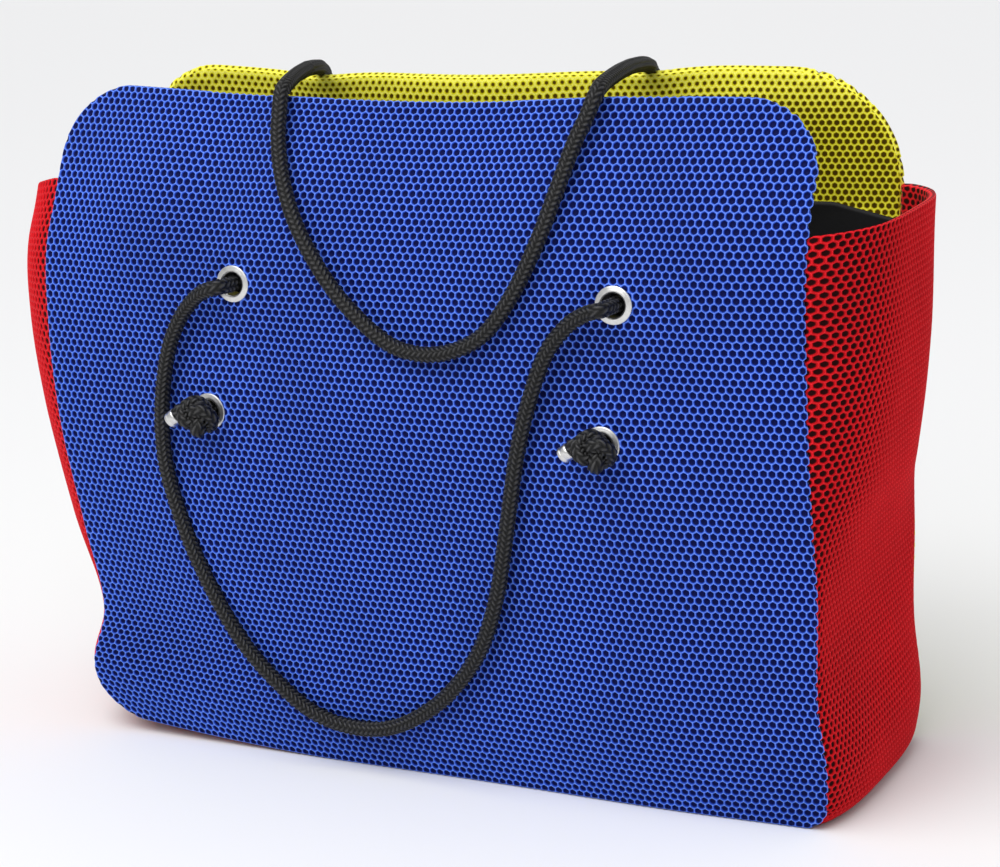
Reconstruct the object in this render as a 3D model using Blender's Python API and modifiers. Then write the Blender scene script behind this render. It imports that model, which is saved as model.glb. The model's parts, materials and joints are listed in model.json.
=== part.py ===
"""Mesh tote bag with two rope handles.

Frame: X runs along the width, the front faces -Y, +Z is up and z = 0 is the floor.
Units are metres. Panels are described by two fabric coordinates: "across", from 0 at
the left seam to 1 at the right seam, and "height" above the floor along the fabric.
"""

import math

import bmesh
import bpy
import numpy as np
from mathutils import Matrix, Vector

COLLECTION = "mesh_tote_bag"

# Driving dimensions
HEIGHT = 0.373  # top edge of the two panels
FABRIC = 0.004  # spacer mesh
LINING = 0.001
GAP = 0.0003  # clearance between pieces that touch
SEAM_ROOM = FABRIC * 1.08 + GAP  # from a panel's outer face to the edge of the band
LINING_DEPTH = FABRIC + 0.0006  # from the mesh's outer face to the lining
BAND_LINING_DEPTH = FABRIC + 0.0014  # the same where the mesh turns the bag's corners
LINING_INSET = 0.0052  # lining panels stop this far inside the panels' outline
LINING_TOP = 0.290
LINING_TRIM = 0.016  # share of the band's width that its lining stays clear of each panel
RIM_LEFT, RIM_RIGHT, RIM_BACK_RISE = 0.320, 0.306, 0.003
RIM_DIPS = (0.010, -0.002)  # how far the left rim dips between its seams, and the right one rises
BASE_CORNERS = (0.024, 0.012)  # radii at the left and right ends of the base
ROPE_RADIUS = 0.0040
BAG_MIDDLE = Vector((0.019, 0.0, 0.16))
BULGE_POWERS = (2.4, 3.4)  # how boxy the left and right sides are: a higher power is flatter

# The band's grid: cells along it and across it, and the share of each stretch
BAND_COLUMNS, BAND_ROWS = 50, 6
SIDE_SHARE, CORNER_SHARE = 0.32, 0.08

# Radii of the panels' top corners, left and right
TOP_CORNERS = {"front": (0.040, 0.042), "back": (0.046, 0.068)}

# Seams between panels and band, as (height, x) and (height, y)
LEFT_SEAM_X = [
    (0.0, -0.196), (0.029, -0.202), (0.070, -0.190), (0.125, -0.198), (0.187, -0.210),
    (0.240, -0.2145), (0.285, -0.212), (0.306, -0.2075), (0.335, -0.2045), (HEIGHT, -0.201),
]
RIGHT_SEAM_X = [
    (0.0, 0.236), (0.029, 0.239), (0.070, 0.2355), (0.125, 0.236), (0.187, 0.232),
    (0.306, 0.230), (HEIGHT, 0.235),
]
FRONT_SEAM_Y = [
    (0.0, -0.069), (0.023, -0.073), (0.129, -0.080), (0.234, -0.077), (0.306, -0.073),
    (HEIGHT, -0.051),
]
BACK_LEFT_Y = [
    (0.0, 0.078), (0.023, 0.082), (0.129, 0.076), (0.234, 0.058), (0.308, 0.038), (HEIGHT, 0.014),
]
BACK_RIGHT_Y = [(0.0, 0.078), (0.023, 0.082), (0.234, 0.083), (0.308, 0.085), (HEIGHT, 0.080)]

# How far the fabric bellies out between its seams, as (height, distance)
FRONT_BOW = [(0.0, 0.0), (0.023, 0.002), (0.129, 0.009), (0.234, 0.012), (0.306, 0.010), (HEIGHT, 0.010)]
BACK_BOW = [(0.0, 0.0), (0.023, 0.002), (0.129, 0.008), (0.234, 0.008), (0.306, 0.004), (HEIGHT, 0.0)]
LEFT_BULGE = [
    (0.0, 0.012), (0.023, 0.021), (0.064, 0.022), (0.105, 0.036), (0.175, 0.041), (0.260, 0.0425),
    (0.320, 0.0385),
]
RIGHT_BULGE = [
    (0.0, 0.008), (0.023, 0.009), (0.070, 0.004), (0.117, 0.001), (0.150, 0.008), (0.170, 0.0155),
    (0.202, 0.0235), (0.234, 0.0285), (0.306, 0.0305),
]

# Local swellings, as (across, height, half width across, half height, push towards -Y)
FRONT_SWELLS = [(0.80, 0.045, 0.16, 0.050, 0.006)]
BACK_SWELLS = [(0.45, HEIGHT, 0.17, 0.060, 0.020)]

# How far the top edge sags below HEIGHT, as (across, distance)
FRONT_SAG = [(0.0, 0.003), (0.12, 0.0045), (0.3, 0.007), (0.6, 0.007), (0.75, 0.0035), (1.0, 0.003)]
BACK_SAG = [
    (0.0, 0.001), (0.18, 0.0035), (0.25, 0.0058), (0.32, 0.0040), (0.5, 0.0045), (0.62, 0.0032),
    (0.68, 0.0046), (0.75, 0.0018), (1.0, 0.002),
]

# Eyelets, as (name, x, z), the same on both panels
EYELETS = [
    ("upper_left", -0.086, 0.2695),
    ("upper_right", 0.1325, 0.2695),
    ("lower_left", -0.104, 0.199),
    ("lower_right", 0.1255, 0.198),
]
EYELET_FLANGE, EYELET_HOLE, EYELET_WALL = 0.010, 0.006, 0.0008
EYELET_STEPS = 12
STACK = LINING_DEPTH + LINING  # from the outer face to the lining's inner face
WASHER = 0.0008

KNOT_RADII = (0.0120, 0.0095, 0.0112)
KNOT_STANDOFF = 0.0130  # from the fabric to the knot's centre
FERRULE_RADIUS, FERRULE_LENGTH = 0.0037, 0.0060
FERRULE_WAY = Vector((-0.79, 0.0, -0.61)).normalized()  # from the knot along the rope's end
FERRULE_OFFSET = Vector((-0.0168, 0.0, -0.0018))  # from the knot's centre to the sleeve's

# Free ropes: each point is (x, y, z). The route is a smooth curve through them.
FRONT_ROUTE = [
    (-0.0890, -0.0988, 0.2690), (-0.0990, -0.0973, 0.2655), (-0.1089, -0.0938, 0.2585),
    (-0.1172, -0.0921, 0.2490), (-0.1248, -0.0918, 0.2340), (-0.1297, -0.0920, 0.2145),
    (-0.1322, -0.0923, 0.1925), (-0.1317, -0.0923, 0.1700), (-0.1268, -0.0923, 0.1480),
    (-0.1186, -0.0915, 0.1230), (-0.1076, -0.0903, 0.0980), (-0.0938, -0.0885, 0.0732),
    (-0.0775, -0.0861, 0.0530), (-0.0565, -0.0823, 0.0342), (-0.0345, -0.0803, 0.0264),
    (-0.0100, -0.0808, 0.0278), (0.0129, -0.0836, 0.0384), (0.0356, -0.0880, 0.0571),
    (0.0548, -0.0915, 0.0828), (0.0662, -0.0938, 0.1119), (0.0725, -0.0953, 0.1398),
    (0.0774, -0.0958, 0.1670), (0.0823, -0.0957, 0.1936), (0.0893, -0.0949, 0.2198),
    (0.0986, -0.0943, 0.2435), (0.1109, -0.0948, 0.2590), (0.1227, -0.0968, 0.2665),
    (0.1306, -0.0988, 0.2690),
]
REAR_DRAPE_ROUTE = [
    (-0.0617, -0.0668, 0.3680), (-0.0603, -0.0725, 0.3585), (-0.0587, -0.0778, 0.3442),
    (-0.0531, -0.0848, 0.3245), (-0.0431, -0.0903, 0.3024), (-0.0289, -0.0928, 0.2800),
    (-0.0139, -0.0938, 0.2626), (0.0072, -0.0943, 0.2457), (0.0254, -0.0945, 0.2400),
    (0.0446, -0.0943, 0.2418), (0.0639, -0.0938, 0.2517), (0.0803, -0.0923, 0.2728),
    (0.0939, -0.0888, 0.3007), (0.1021, -0.0828, 0.3249), (0.1089, -0.0758, 0.3470),
    (0.1142, -0.0715, 0.3600), (0.1174, -0.0671, 0.3702),
]
REAR_BRIDGE_ROUTES = {
    "left": [
        (-0.0905, 0.0262, 0.3716), (-0.0856, 0.0120, 0.3740), (-0.0786, -0.0100, 0.3757),
        (-0.0710, -0.0350, 0.3748), (-0.0640, -0.0568, 0.3722),
    ],
    "right": [
        (0.0960, 0.0530, 0.3732), (0.1000, 0.0330, 0.3764), (0.1060, 0.0040, 0.3790),
        (0.1120, -0.0260, 0.3790), (0.1165, -0.0560, 0.3754),
    ],
}
REAR_RISER_ROUTES = {
    "left": [
        (-0.0890, 0.0793, 0.2740), (-0.0925, 0.0763, 0.2860), (-0.0975, 0.0693, 0.3060),
        (-0.0990, 0.0577, 0.3280), (-0.0965, 0.0448, 0.3530), (-0.0940, 0.0364, 0.3668),
    ],
    "right": [
        (0.1290, 0.0978, 0.2740), (0.1240, 0.0963, 0.2860), (0.1150, 0.0933, 0.3070),
        (0.1040, 0.0853, 0.3290), (0.0955, 0.0745, 0.3530), (0.0930, 0.0642, 0.3688),
    ],
}

BLUE, YELLOW, RED = (0.02, 0.07, 0.55, 1), (0.75, 0.66, 0.01, 1), (0.55, 0.01, 0.03, 1)
BLACK, NICKEL = (0.008, 0.008, 0.009, 1), (0.75, 0.73, 0.70, 1)


def through(points, at):
    """The smooth line through (place, value) pairs, read at a number or an array."""
    places = np.array([place for place, value in points])
    values = np.array([value for place, value in points])
    steps = np.diff(places)
    slopes = np.diff(values) / steps
    inner = (slopes[:-1] * steps[1:] + slopes[1:] * steps[:-1]) / (steps[:-1] + steps[1:])
    tangents = np.concatenate([slopes[:1], inner, slopes[-1:]])
    at = np.clip(at, places[0], places[-1])
    i = np.clip(np.searchsorted(places, at, side="right") - 1, 0, len(steps) - 1)
    t = (at - places[i]) / steps[i]
    start = (2 * t**3 - 3 * t**2 + 1) * values[i] + (t**3 - 2 * t**2 + t) * steps[i] * tangents[i]
    end = (3 * t**2 - 2 * t**3) * values[i + 1] + (t**3 - t**2) * steps[i] * tangents[i + 1]
    return start + end


def swell(rows, across, height):
    """The push of all local swellings at one place of a panel."""
    total = 0.0
    for at_across, at_height, half_width, half_height, push in rows:
        distance = ((across - at_across) / half_width) ** 2 + ((height - at_height) / half_height) ** 2
        total = total + push * np.exp(-distance)
    return total


def belly(across):
    """How much of the bow a place takes: 0 at the seams, 1 in the middle."""
    return 1 - np.abs(2 * across - 1) ** 2.5


def front_y(across, height):
    bow = through(FRONT_BOW, height) * belly(across)
    return through(FRONT_SEAM_Y, height) - bow - swell(FRONT_SWELLS, across, height)


def back_y(across, height):
    seams = through(BACK_LEFT_Y, height) * (1 - across) + through(BACK_RIGHT_Y, height) * across
    bow = through(BACK_BOW, height) * belly(across)
    return seams + bow - swell(BACK_SWELLS, across, height)


def seam_x(across, height):
    return through(LEFT_SEAM_X, height) * (1 - across) + through(RIGHT_SEAM_X, height) * across


PANELS = {"front": (front_y, FRONT_SAG, -1), "back": (back_y, BACK_SAG, 1)}


def panel_point(side, across, height, depth=0.0):
    """A point of a panel's outer face, or one that lies depth inside it."""
    y_of, sag, outward = PANELS[side]

    def place(a, h):
        drop = through(sag, a) * (h / HEIGHT) ** 8
        return Vector((seam_x(a, h), y_of(a, h), h - drop))

    here = place(across, height)
    if depth == 0.0:
        return here
    small = 0.002
    along = place(across + small, height) - place(across - small, height)
    upward = place(across, height + small) - place(across, height - small)
    normal = along.cross(upward).normalized()
    if normal.y * outward > 0:
        normal = -normal
    return here + normal * depth


def across_at(x, height):
    left, right = through(LEFT_SEAM_X, height), through(RIGHT_SEAM_X, height)
    return float((x - left) / (right - left))


def material(name, colour, roughness, metallic=0.0):
    mat = bpy.data.materials.new(name)
    mat.use_nodes = True
    shader = mat.node_tree.nodes["Principled BSDF"]
    shader.inputs["Base Color"].default_value = colour
    shader.inputs["Roughness"].default_value = roughness
    shader.inputs["Metallic"].default_value = metallic
    return mat


def add_object(name, mesh, mat, collection):
    obj = bpy.data.objects.new(name, mesh)
    obj.data.materials.append(mat)
    collection.objects.link(obj)
    return obj


def corner_inset(height, low, high, bottom, top):
    """How far a rounded outline lies inside its straight sides at one height."""
    if top and height > high - top:
        return top - math.sqrt(max(0.0, top**2 - (height - high + top) ** 2))
    if height < low + bottom:
        return bottom - math.sqrt(max(0.0, bottom**2 - (low + bottom - height) ** 2))
    return 0.0


def bent_grid(columns, rows, place):
    """A grid whose vertices are put at place(a, b), with a and b from 0 to 1."""
    bm = bmesh.new()
    bmesh.ops.create_grid(bm, x_segments=columns, y_segments=rows, size=1.0)
    for vert in bm.verts:
        vert.co = place((vert.co.x + 1) / 2, (vert.co.y + 1) / 2)
    return bm


def shell(name, bm, mat, collection, thickness, towards):
    """Closes a bent grid as a sheet whose thickness grows along the towards direction."""
    bm.normal_update()
    middle = sum((face.normal.dot(towards(face.calc_center_median())) for face in bm.faces))
    if middle > 0:
        bmesh.ops.reverse_faces(bm, faces=bm.faces)
    mesh = bpy.data.meshes.new(name)
    bm.to_mesh(mesh)
    bm.free()
    obj = add_object(name, mesh, mat, collection)
    solid = obj.modifiers.new("thickness", "SOLIDIFY")
    solid.thickness = thickness
    solid.offset = -1.0
    solid.use_even_offset = True
    return obj


def inward_of_panel(side):
    direction = Vector((0, -PANELS[side][2], 0))
    return lambda centre: direction


def panel_sheet(name, side, mat, collection, low, high, inset, depth, thickness, grid, corners):
    """One panel: a rounded outline that follows the bag's surface.

    corners holds the bottom and top radius at the left, then at the right.
    """
    columns, rows = grid

    def place(a, b):
        crowd = 0.75 * math.sin(2 * math.pi * b) / (2 * math.pi)
        height = low + (high - low) * (b - crowd)
        width = seam_x(1, height) - seam_x(0, height)
        left, right = (
            (inset + corner_inset(height, low, high, bottom, top)) / width for bottom, top in corners
        )
        return panel_point(side, left + (1 - left - right) * a, height, depth)

    bm = bent_grid(columns, rows, place)
    return shell(name, bm, mat, collection, thickness, inward_of_panel(side))


def band_outline(along):
    """Place and outward direction of the band in the XZ plane, with its bulge.

    along runs from 0 at the left rim, round the base, to 1 at the right rim.
    """
    if along > 0.5:
        across, share, rim, bulge = 1, 1 - along, RIM_RIGHT, RIGHT_BULGE
    else:
        across, share, rim, bulge = 0, along, RIM_LEFT, LEFT_BULGE
    outward = 2 * across - 1
    corner = BASE_CORNERS[across]
    base_from = SIDE_SHARE + CORNER_SHARE
    if share <= SIDE_SHARE:
        height = rim + (corner - rim) * share / SIDE_SHARE
        angle = 0.0
    elif share <= base_from:
        angle = math.pi / 2 * (share - SIDE_SHARE) / CORNER_SHARE
        height = corner * (1 - math.sin(angle))
    else:
        angle = math.pi / 2
        height = 0.0
    x = seam_x(across, height) - outward * corner * (1 - math.cos(angle))
    if share > base_from:
        x += (BAG_MIDDLE.x - x) * (share - base_from) / (0.5 - base_from)
    swelling = through(bulge, height) * math.cos(angle)
    return x, height, outward * math.cos(angle), -math.sin(angle), swelling


def band_point(along, width_share, depth=0.0):
    """A point of the band's outer face, or one that lies depth inside it."""

    def place(a, b):
        x, height, out_x, out_z, swelling = band_outline(a)
        across = min(1.0, max(0.0, across_at(x, height)))
        front = front_y(across, height) + SEAM_ROOM
        back = back_y(across, height) - SEAM_ROOM
        near_rim = max(0.0, (height - 0.2) / 0.1)
        dip = RIM_DIPS[round(a)] * (1 - (2 * b - 1) ** 2)
        out = swelling * (1 - abs(2 * b - 1) ** BULGE_POWERS[round(a)])
        z = height + (RIM_BACK_RISE * b - dip) * near_rim + out_z * out
        return Vector((x + out_x * out, front + (back - front) * b, max(0.0, z)))

    here = place(along, width_share)
    if depth == 0.0:
        return here
    small = 0.002
    length = place(min(1.0, along + small), width_share) - place(max(0.0, along - small), width_share)
    breadth = place(along, min(1.0, width_share + small)) - place(along, max(0.0, width_share - small))
    normal = length.cross(breadth).normalized()
    if normal.dot(BAG_MIDDLE - here) < 0:
        normal = -normal
    return here + normal * depth


def band_sheet(name, mat, collection, depth, thickness, trim):
    """The strip that forms both sides and the base between the two panels.

    trim is what the strip loses at its ends, in rows, and at its edges, as a share.
    """
    end_rows, edge_share = trim
    columns = BAND_COLUMNS - 2 * end_rows

    def place(a, b):
        along = (end_rows + columns * a) / BAND_COLUMNS
        return band_point(along, min(1 - edge_share, max(edge_share, b)), depth)

    bm = bent_grid(columns, BAND_ROWS, place)
    return shell(name, bm, mat, collection, thickness, lambda at: BAG_MIDDLE - at)


def turned(name, profile, steps, mat, collection):
    """A ring turned about Z from a closed (radius, height) profile."""
    bm = bmesh.new()
    verts = [bm.verts.new((radius, 0, height)) for radius, height in profile]
    for a, b in zip(verts, verts[1:] + verts[:1]):
        bm.edges.new((a, b))
    mesh = bpy.data.meshes.new(name)
    bm.to_mesh(mesh)
    bm.free()
    obj = add_object(name, mesh, mat, collection)
    screw = obj.modifiers.new("turn", "SCREW")
    screw.steps = steps
    screw.render_steps = steps
    screw.use_merge_vertices = True
    screw.merge_threshold = 0.00001
    screw.use_smooth_shade = True
    return obj


def eyelet_frame(side, x, height):
    """Matrix with its origin on a panel's outer face and +Z pointing out of the bag."""
    across = across_at(x, height)
    origin = panel_point(side, across, height)
    normal = (origin - panel_point(side, across, height, 0.01)).normalized()
    turn = Vector((0, 0, 1)).rotation_difference(normal).to_matrix().to_4x4()
    return Matrix.Translation(origin) @ turn


def eyelet(name, frame, mat, collection):
    flange, hole, wall = EYELET_FLANGE, EYELET_HOLE, EYELET_WALL
    lip = STACK + WASHER + 3 * GAP
    profile = [
        (hole, 0.0008), (hole + 0.0018, 0.0016), (flange, 0.0009), (flange, GAP + 0.0001),
        (hole + wall, GAP + 0.0001), (hole + wall, -lip),
        (hole + wall + 0.0011, -lip), (hole + wall + 0.0009, -lip - wall), (hole, -lip - wall),
    ]
    obj = turned(name, profile, EYELET_STEPS, mat, collection)
    obj.matrix_world = frame
    return obj


def washer(name, frame, mat, collection):
    inner, outer = EYELET_HOLE + EYELET_WALL + GAP, EYELET_FLANGE
    top, bottom = -STACK - GAP - 0.0001, -STACK - GAP - 0.0001 - WASHER
    profile = [(inner, top), (outer, top), (outer, bottom), (inner, bottom)]
    obj = turned(name, profile, EYELET_STEPS, mat, collection)
    obj.matrix_world = frame
    return obj


def cut_holes(panel, frames, cutters):
    """Cuts the eyelet holes through one sheet."""
    for number, frame in enumerate(frames):
        bm = bmesh.new()
        bmesh.ops.create_cone(
            bm, cap_ends=True, segments=EYELET_STEPS, depth=0.04,
            radius1=EYELET_HOLE + EYELET_WALL + GAP, radius2=EYELET_HOLE + EYELET_WALL + GAP,
        )
        mesh = bpy.data.meshes.new("hole_cutter")
        bm.to_mesh(mesh)
        bm.free()
        cutter = bpy.data.objects.new(f"{panel.name}_hole_{number}", mesh)
        cutter.matrix_world = frame
        cutter.hide_render = True
        cutter.display_type = "WIRE"
        cutters.objects.link(cutter)
        cut = panel.modifiers.new(f"hole_{number}", "BOOLEAN")
        cut.operation = "DIFFERENCE"
        cut.solver = "EXACT"
        cut.object = cutter


def smooth_line(points, spacing):
    """Points at an even spacing along a smooth curve through the given points."""
    knots = [Vector(point) for point in points]
    dense = []
    for i in range(len(knots) - 1):
        before = knots[i - 1] if i else knots[0] * 2 - knots[1]
        after = knots[i + 2] if i + 2 < len(knots) else knots[-1] * 2 - knots[-2]
        a, b = knots[i], knots[i + 1]
        for step in range(12):
            t = step / 12
            leave, arrive = (b - before) / 2, (after - a) / 2
            dense.append(
                a * (2 * t**3 - 3 * t**2 + 1) + leave * (t**3 - 2 * t**2 + t)
                + b * (3 * t**2 - 2 * t**3) + arrive * (t**3 - t**2)
            )
    dense.append(knots[-1])
    lengths = [0.0]
    for a, b in zip(dense, dense[1:]):
        lengths.append(lengths[-1] + (b - a).length)
    count = max(3, round(lengths[-1] / spacing))
    line = []
    for k in range(count + 1):
        at = lengths[-1] * k / count
        i = min(len(dense) - 2, max(0, int(np.searchsorted(lengths, at)) - 1))
        share = (at - lengths[i]) / (lengths[i + 1] - lengths[i])
        line.append(dense[i].lerp(dense[i + 1], share))
    return line


def rope(name, route, mat, collection, pivot=None):
    """A plain tube along a smooth route. A moving rope's origin is on its hinge."""
    curve = bpy.data.curves.new(name, "CURVE")
    curve.dimensions = "3D"
    curve.bevel_depth = ROPE_RADIUS
    curve.bevel_resolution = 2
    curve.use_fill_caps = True
    origin = Vector(pivot) if pivot else Vector((0, 0, 0))
    line = smooth_line(route, 0.017)
    spline = curve.splines.new("POLY")
    spline.points.add(len(line) - 1)
    for point, at in zip(spline.points, line):
        point.co = (*(at - origin), 1)
    obj = bpy.data.objects.new(name, curve)
    obj.data.materials.append(mat)
    obj.location = origin
    collection.objects.link(obj)
    return obj


def inside_route(side, start, end):
    """A rope end's way behind a panel: in at one eyelet, down, and out at the next."""
    frames = {name: eyelet_frame(side, x, z) for name, x, z in EYELETS}
    into, out = frames[start], frames[end]
    return [
        into @ Vector((0, 0, 0.0020)), into @ Vector((0, 0, -0.0060)),
        into @ Vector((0, 0, -0.0145)) + Vector((0, 0, -0.0030)),
        into @ Vector((0, 0, -0.0185)) + Vector((0, 0, -0.0130)),
        (into @ Vector((0, 0, -0.0190))).lerp(out @ Vector((0, 0, -0.0190)), 0.5),
        out @ Vector((0, 0, -0.0185)) + Vector((0, 0, 0.0130)),
        out @ Vector((0, 0, -0.0145)) + Vector((0, 0, 0.0030)),
        out @ Vector((0, 0, -0.0060)), out @ Vector((0, 0, 0.0026)),
    ]


def knot(name, frame, mat, collection):
    """The outer shape of an overhand knot."""
    bm = bmesh.new()
    bmesh.ops.create_uvsphere(bm, u_segments=14, v_segments=8, radius=1.0)
    bmesh.ops.scale(bm, vec=(KNOT_RADII[0], KNOT_RADII[2], KNOT_RADII[1]), verts=bm.verts)
    mesh = bpy.data.meshes.new(name)
    bm.to_mesh(mesh)
    bm.free()
    obj = add_object(name, mesh, mat, collection)
    obj.matrix_world = frame @ Matrix.Translation((0, 0, KNOT_STANDOFF))
    mesh.shade_smooth()
    return obj


def ferrule(name, frame, mat, collection):
    """The metal sleeve on a rope end, pointing down to the left out of its knot."""
    bm = bmesh.new()
    bmesh.ops.create_cone(
        bm, cap_ends=True, segments=14, depth=FERRULE_LENGTH,
        radius1=FERRULE_RADIUS, radius2=FERRULE_RADIUS,
    )
    mesh = bpy.data.meshes.new(name)
    bm.to_mesh(mesh)
    bm.free()
    obj = add_object(name, mesh, mat, collection)
    centre = frame @ Vector((0, 0, KNOT_STANDOFF)) + FERRULE_OFFSET
    turn = Vector((0, 0, 1)).rotation_difference(FERRULE_WAY).to_matrix().to_4x4()
    obj.matrix_world = Matrix.Translation(centre) @ turn
    mesh.shade_smooth()
    mesh.set_sharp_from_angle(angle=math.radians(40))
    return obj


def build_shell(bag, cutters):
    """The mesh panels and band, and the lining sewn inside them."""
    blue = material("blue_mesh", BLUE, 0.75)
    yellow = material("yellow_mesh", YELLOW, 0.75)
    red = material("red_mesh", RED, 0.75)
    cloth = material("lining_cloth", BLACK, 0.6)
    lining_low = LINING_DEPTH + GAP
    lining_corners = [(radius - LINING_DEPTH, 0.0) for radius in BASE_CORNERS]
    for side, mesh_mat in (("front", blue), ("back", yellow)):
        frames = [eyelet_frame(side, x, z) for name, x, z in EYELETS]
        corners = list(zip(BASE_CORNERS, TOP_CORNERS[side]))
        outer = panel_sheet(
            f"{side}_panel", side, mesh_mat, bag, 0.0, HEIGHT, 0.0, 0.0, FABRIC, (20, 18), corners,
        )
        inner = panel_sheet(
            f"{side}_lining", side, cloth, bag, lining_low, LINING_TOP, LINING_INSET,
            LINING_DEPTH, LINING, (14, 12), lining_corners,
        )
        cut_holes(outer, frames, cutters)
        cut_holes(inner, frames, cutters)
    band_sheet("side_and_base_band", red, bag, 0.0, FABRIC, (0, 0.0))
    band_sheet("side_and_base_lining", cloth, bag, BAND_LINING_DEPTH, LINING, (1, LINING_TRIM))


def build_hardware(bag):
    """Eyelets, washers, knots and ferrules on both panels."""
    nickel = material("nickel", NICKEL, 0.3, 1.0)
    cord = material("black_rope", BLACK, 0.7)
    for side in ("front", "back"):
        for name, x, z in EYELETS:
            frame = eyelet_frame(side, x, z)
            eyelet(f"{side}_{name}_eyelet", frame, nickel, bag)
            washer(f"{side}_{name}_washer", frame, nickel, bag)
            if name.startswith("lower"):
                hand = name.split("_")[1]
                knot(f"{side}_{hand}_knot", frame, cord, bag)
                ferrule(f"{side}_{hand}_ferrule", frame, nickel, bag)


def build_ropes(bag):
    """The two handles: their free loops and the ends held inside the panels."""
    cord = material("handle_rope", BLACK, 0.7)
    for side in ("front", "back"):
        for hand in ("left", "right"):
            route = inside_route(side, f"upper_{hand}", f"lower_{hand}")
            rope(f"{side}_{hand}_rope_end", route, cord, bag)
    rope("front_handle", FRONT_ROUTE, cord, bag, FRONT_ROUTE[0])
    rope("rear_handle_drape", REAR_DRAPE_ROUTE, cord, bag, REAR_DRAPE_ROUTE[0])
    for hand in ("left", "right"):
        rope(f"rear_handle_riser_{hand}", REAR_RISER_ROUTES[hand], cord, bag)
        bridge = REAR_BRIDGE_ROUTES[hand]
        rope(f"rear_handle_bridge_{hand}", bridge, cord, bag, bridge[0])


def main():
    for obj in list(bpy.data.objects):
        bpy.data.objects.remove(obj, do_unlink=True)
    bag = bpy.data.collections.new(COLLECTION)
    cutters = bpy.data.collections.new("cutters")
    bpy.context.scene.collection.children.link(bag)
    bpy.context.scene.collection.children.link(cutters)
    build_shell(bag, cutters)
    build_hardware(bag)
    build_ropes(bag)


main()
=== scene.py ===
"""The looks of the mesh tote bag: honeycomb spacer mesh, braided rope, eyelets and lining.

Units are metres. X runs along the bag's width, the front faces -Y, +Z is up.
A panel is described over its flat cut by u, from its left seam, and v, up from the base.
The band is described by u, from the front seam to the back one, and v, along the strip
from the left rim, round the base, to the right rim.
"""

import json
import math

import bmesh
import bpy
import numpy as np
from mathutils import Matrix, Vector
from mathutils.geometry import delaunay_2d_cdt

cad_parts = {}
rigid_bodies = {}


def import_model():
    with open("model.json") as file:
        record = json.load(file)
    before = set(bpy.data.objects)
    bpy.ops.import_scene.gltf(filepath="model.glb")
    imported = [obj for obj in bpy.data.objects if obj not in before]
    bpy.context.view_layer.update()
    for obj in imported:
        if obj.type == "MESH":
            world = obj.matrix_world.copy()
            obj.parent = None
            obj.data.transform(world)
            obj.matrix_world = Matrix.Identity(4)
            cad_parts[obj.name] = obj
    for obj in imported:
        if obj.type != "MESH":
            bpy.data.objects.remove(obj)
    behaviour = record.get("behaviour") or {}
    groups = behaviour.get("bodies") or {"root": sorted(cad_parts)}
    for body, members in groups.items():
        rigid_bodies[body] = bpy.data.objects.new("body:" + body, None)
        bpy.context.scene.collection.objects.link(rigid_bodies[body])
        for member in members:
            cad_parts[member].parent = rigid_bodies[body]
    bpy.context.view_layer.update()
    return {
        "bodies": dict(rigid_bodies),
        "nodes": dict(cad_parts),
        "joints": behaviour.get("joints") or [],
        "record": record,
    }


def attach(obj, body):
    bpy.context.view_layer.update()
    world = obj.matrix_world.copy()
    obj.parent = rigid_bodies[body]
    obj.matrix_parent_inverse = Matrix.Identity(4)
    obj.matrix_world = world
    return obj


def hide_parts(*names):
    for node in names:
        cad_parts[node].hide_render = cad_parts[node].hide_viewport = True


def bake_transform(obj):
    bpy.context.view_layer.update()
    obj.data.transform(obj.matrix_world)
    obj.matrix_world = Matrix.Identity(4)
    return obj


ROOT, FRONT, BRIDGES, DRAPE = "bag", "front_handle", "rear_handle_bridges", "rear_handle_drape"

# The camera: where it stands, and its heading, tilt and roll in degrees
CAMERA_PLACE = Vector((0.6570, -1.2840, 0.5281))
CAMERA_HEADING, CAMERA_TILT, CAMERA_ROLL = 26.18, 13.84, -1.96
CAMERA_LENS = 96.95

# The bag's shape, as in the CAD apart from a deeper sag in the back panel's top edge
HEIGHT = 0.373
FABRIC = 0.004
LINING = 0.001
GAP = 0.0003
# From the panels' outer faces to the band's edges, sewn inside the panels' rolls
FRONT_SEAM_ALLOWANCE, BACK_SEAM_ALLOWANCE = 0.0012, 0.0008
TUCK, TUCK_SHARE = 0.0014, 0.03  # the band's edges also turn inwards, over this share of its width
RIM_LEFT, RIM_RIGHT, RIM_BACK_RISE = 0.320, 0.306, 0.003
RIM_DIPS = (0.010, -0.002)  # how far the left rim dips between its seams, and the right one rises
RIM_FROM, RIM_RUN = 0.2, 0.1  # the rim's own shape starts at this height and is whole after this run
BASE_CORNERS = (0.024, 0.012)  # radii at the left and right ends of the base
ROPE_RADIUS = 0.0040
BAG_MIDDLE = Vector((0.019, 0.0, 0.16))
BULGE_POWERS = (2.4, 3.4)  # how boxy the left and right sides are
BELLY_POWER = 2.5  # the same for the bow of the panels
SAG_POWER = 8  # how close to the top edge the sag stays
SIDE_SHARE, CORNER_SHARE = 0.32, 0.08  # shares of the band's length in a side and in a base corner
LEFT_SEAM_X = [
    (0.0, -0.196), (0.029, -0.202), (0.070, -0.190), (0.125, -0.198), (0.187, -0.210),
    (0.240, -0.2145), (0.285, -0.212), (0.306, -0.2075), (0.335, -0.2045), (HEIGHT, -0.201),
]
RIGHT_SEAM_X = [
    (0.0, 0.236), (0.029, 0.239), (0.070, 0.2355), (0.125, 0.236), (0.187, 0.232),
    (0.306, 0.230), (HEIGHT, 0.235),
]
FRONT_SEAM_Y = [
    (0.0, -0.069), (0.023, -0.073), (0.129, -0.080), (0.234, -0.077), (0.306, -0.073),
    (HEIGHT, -0.051),
]
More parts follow.
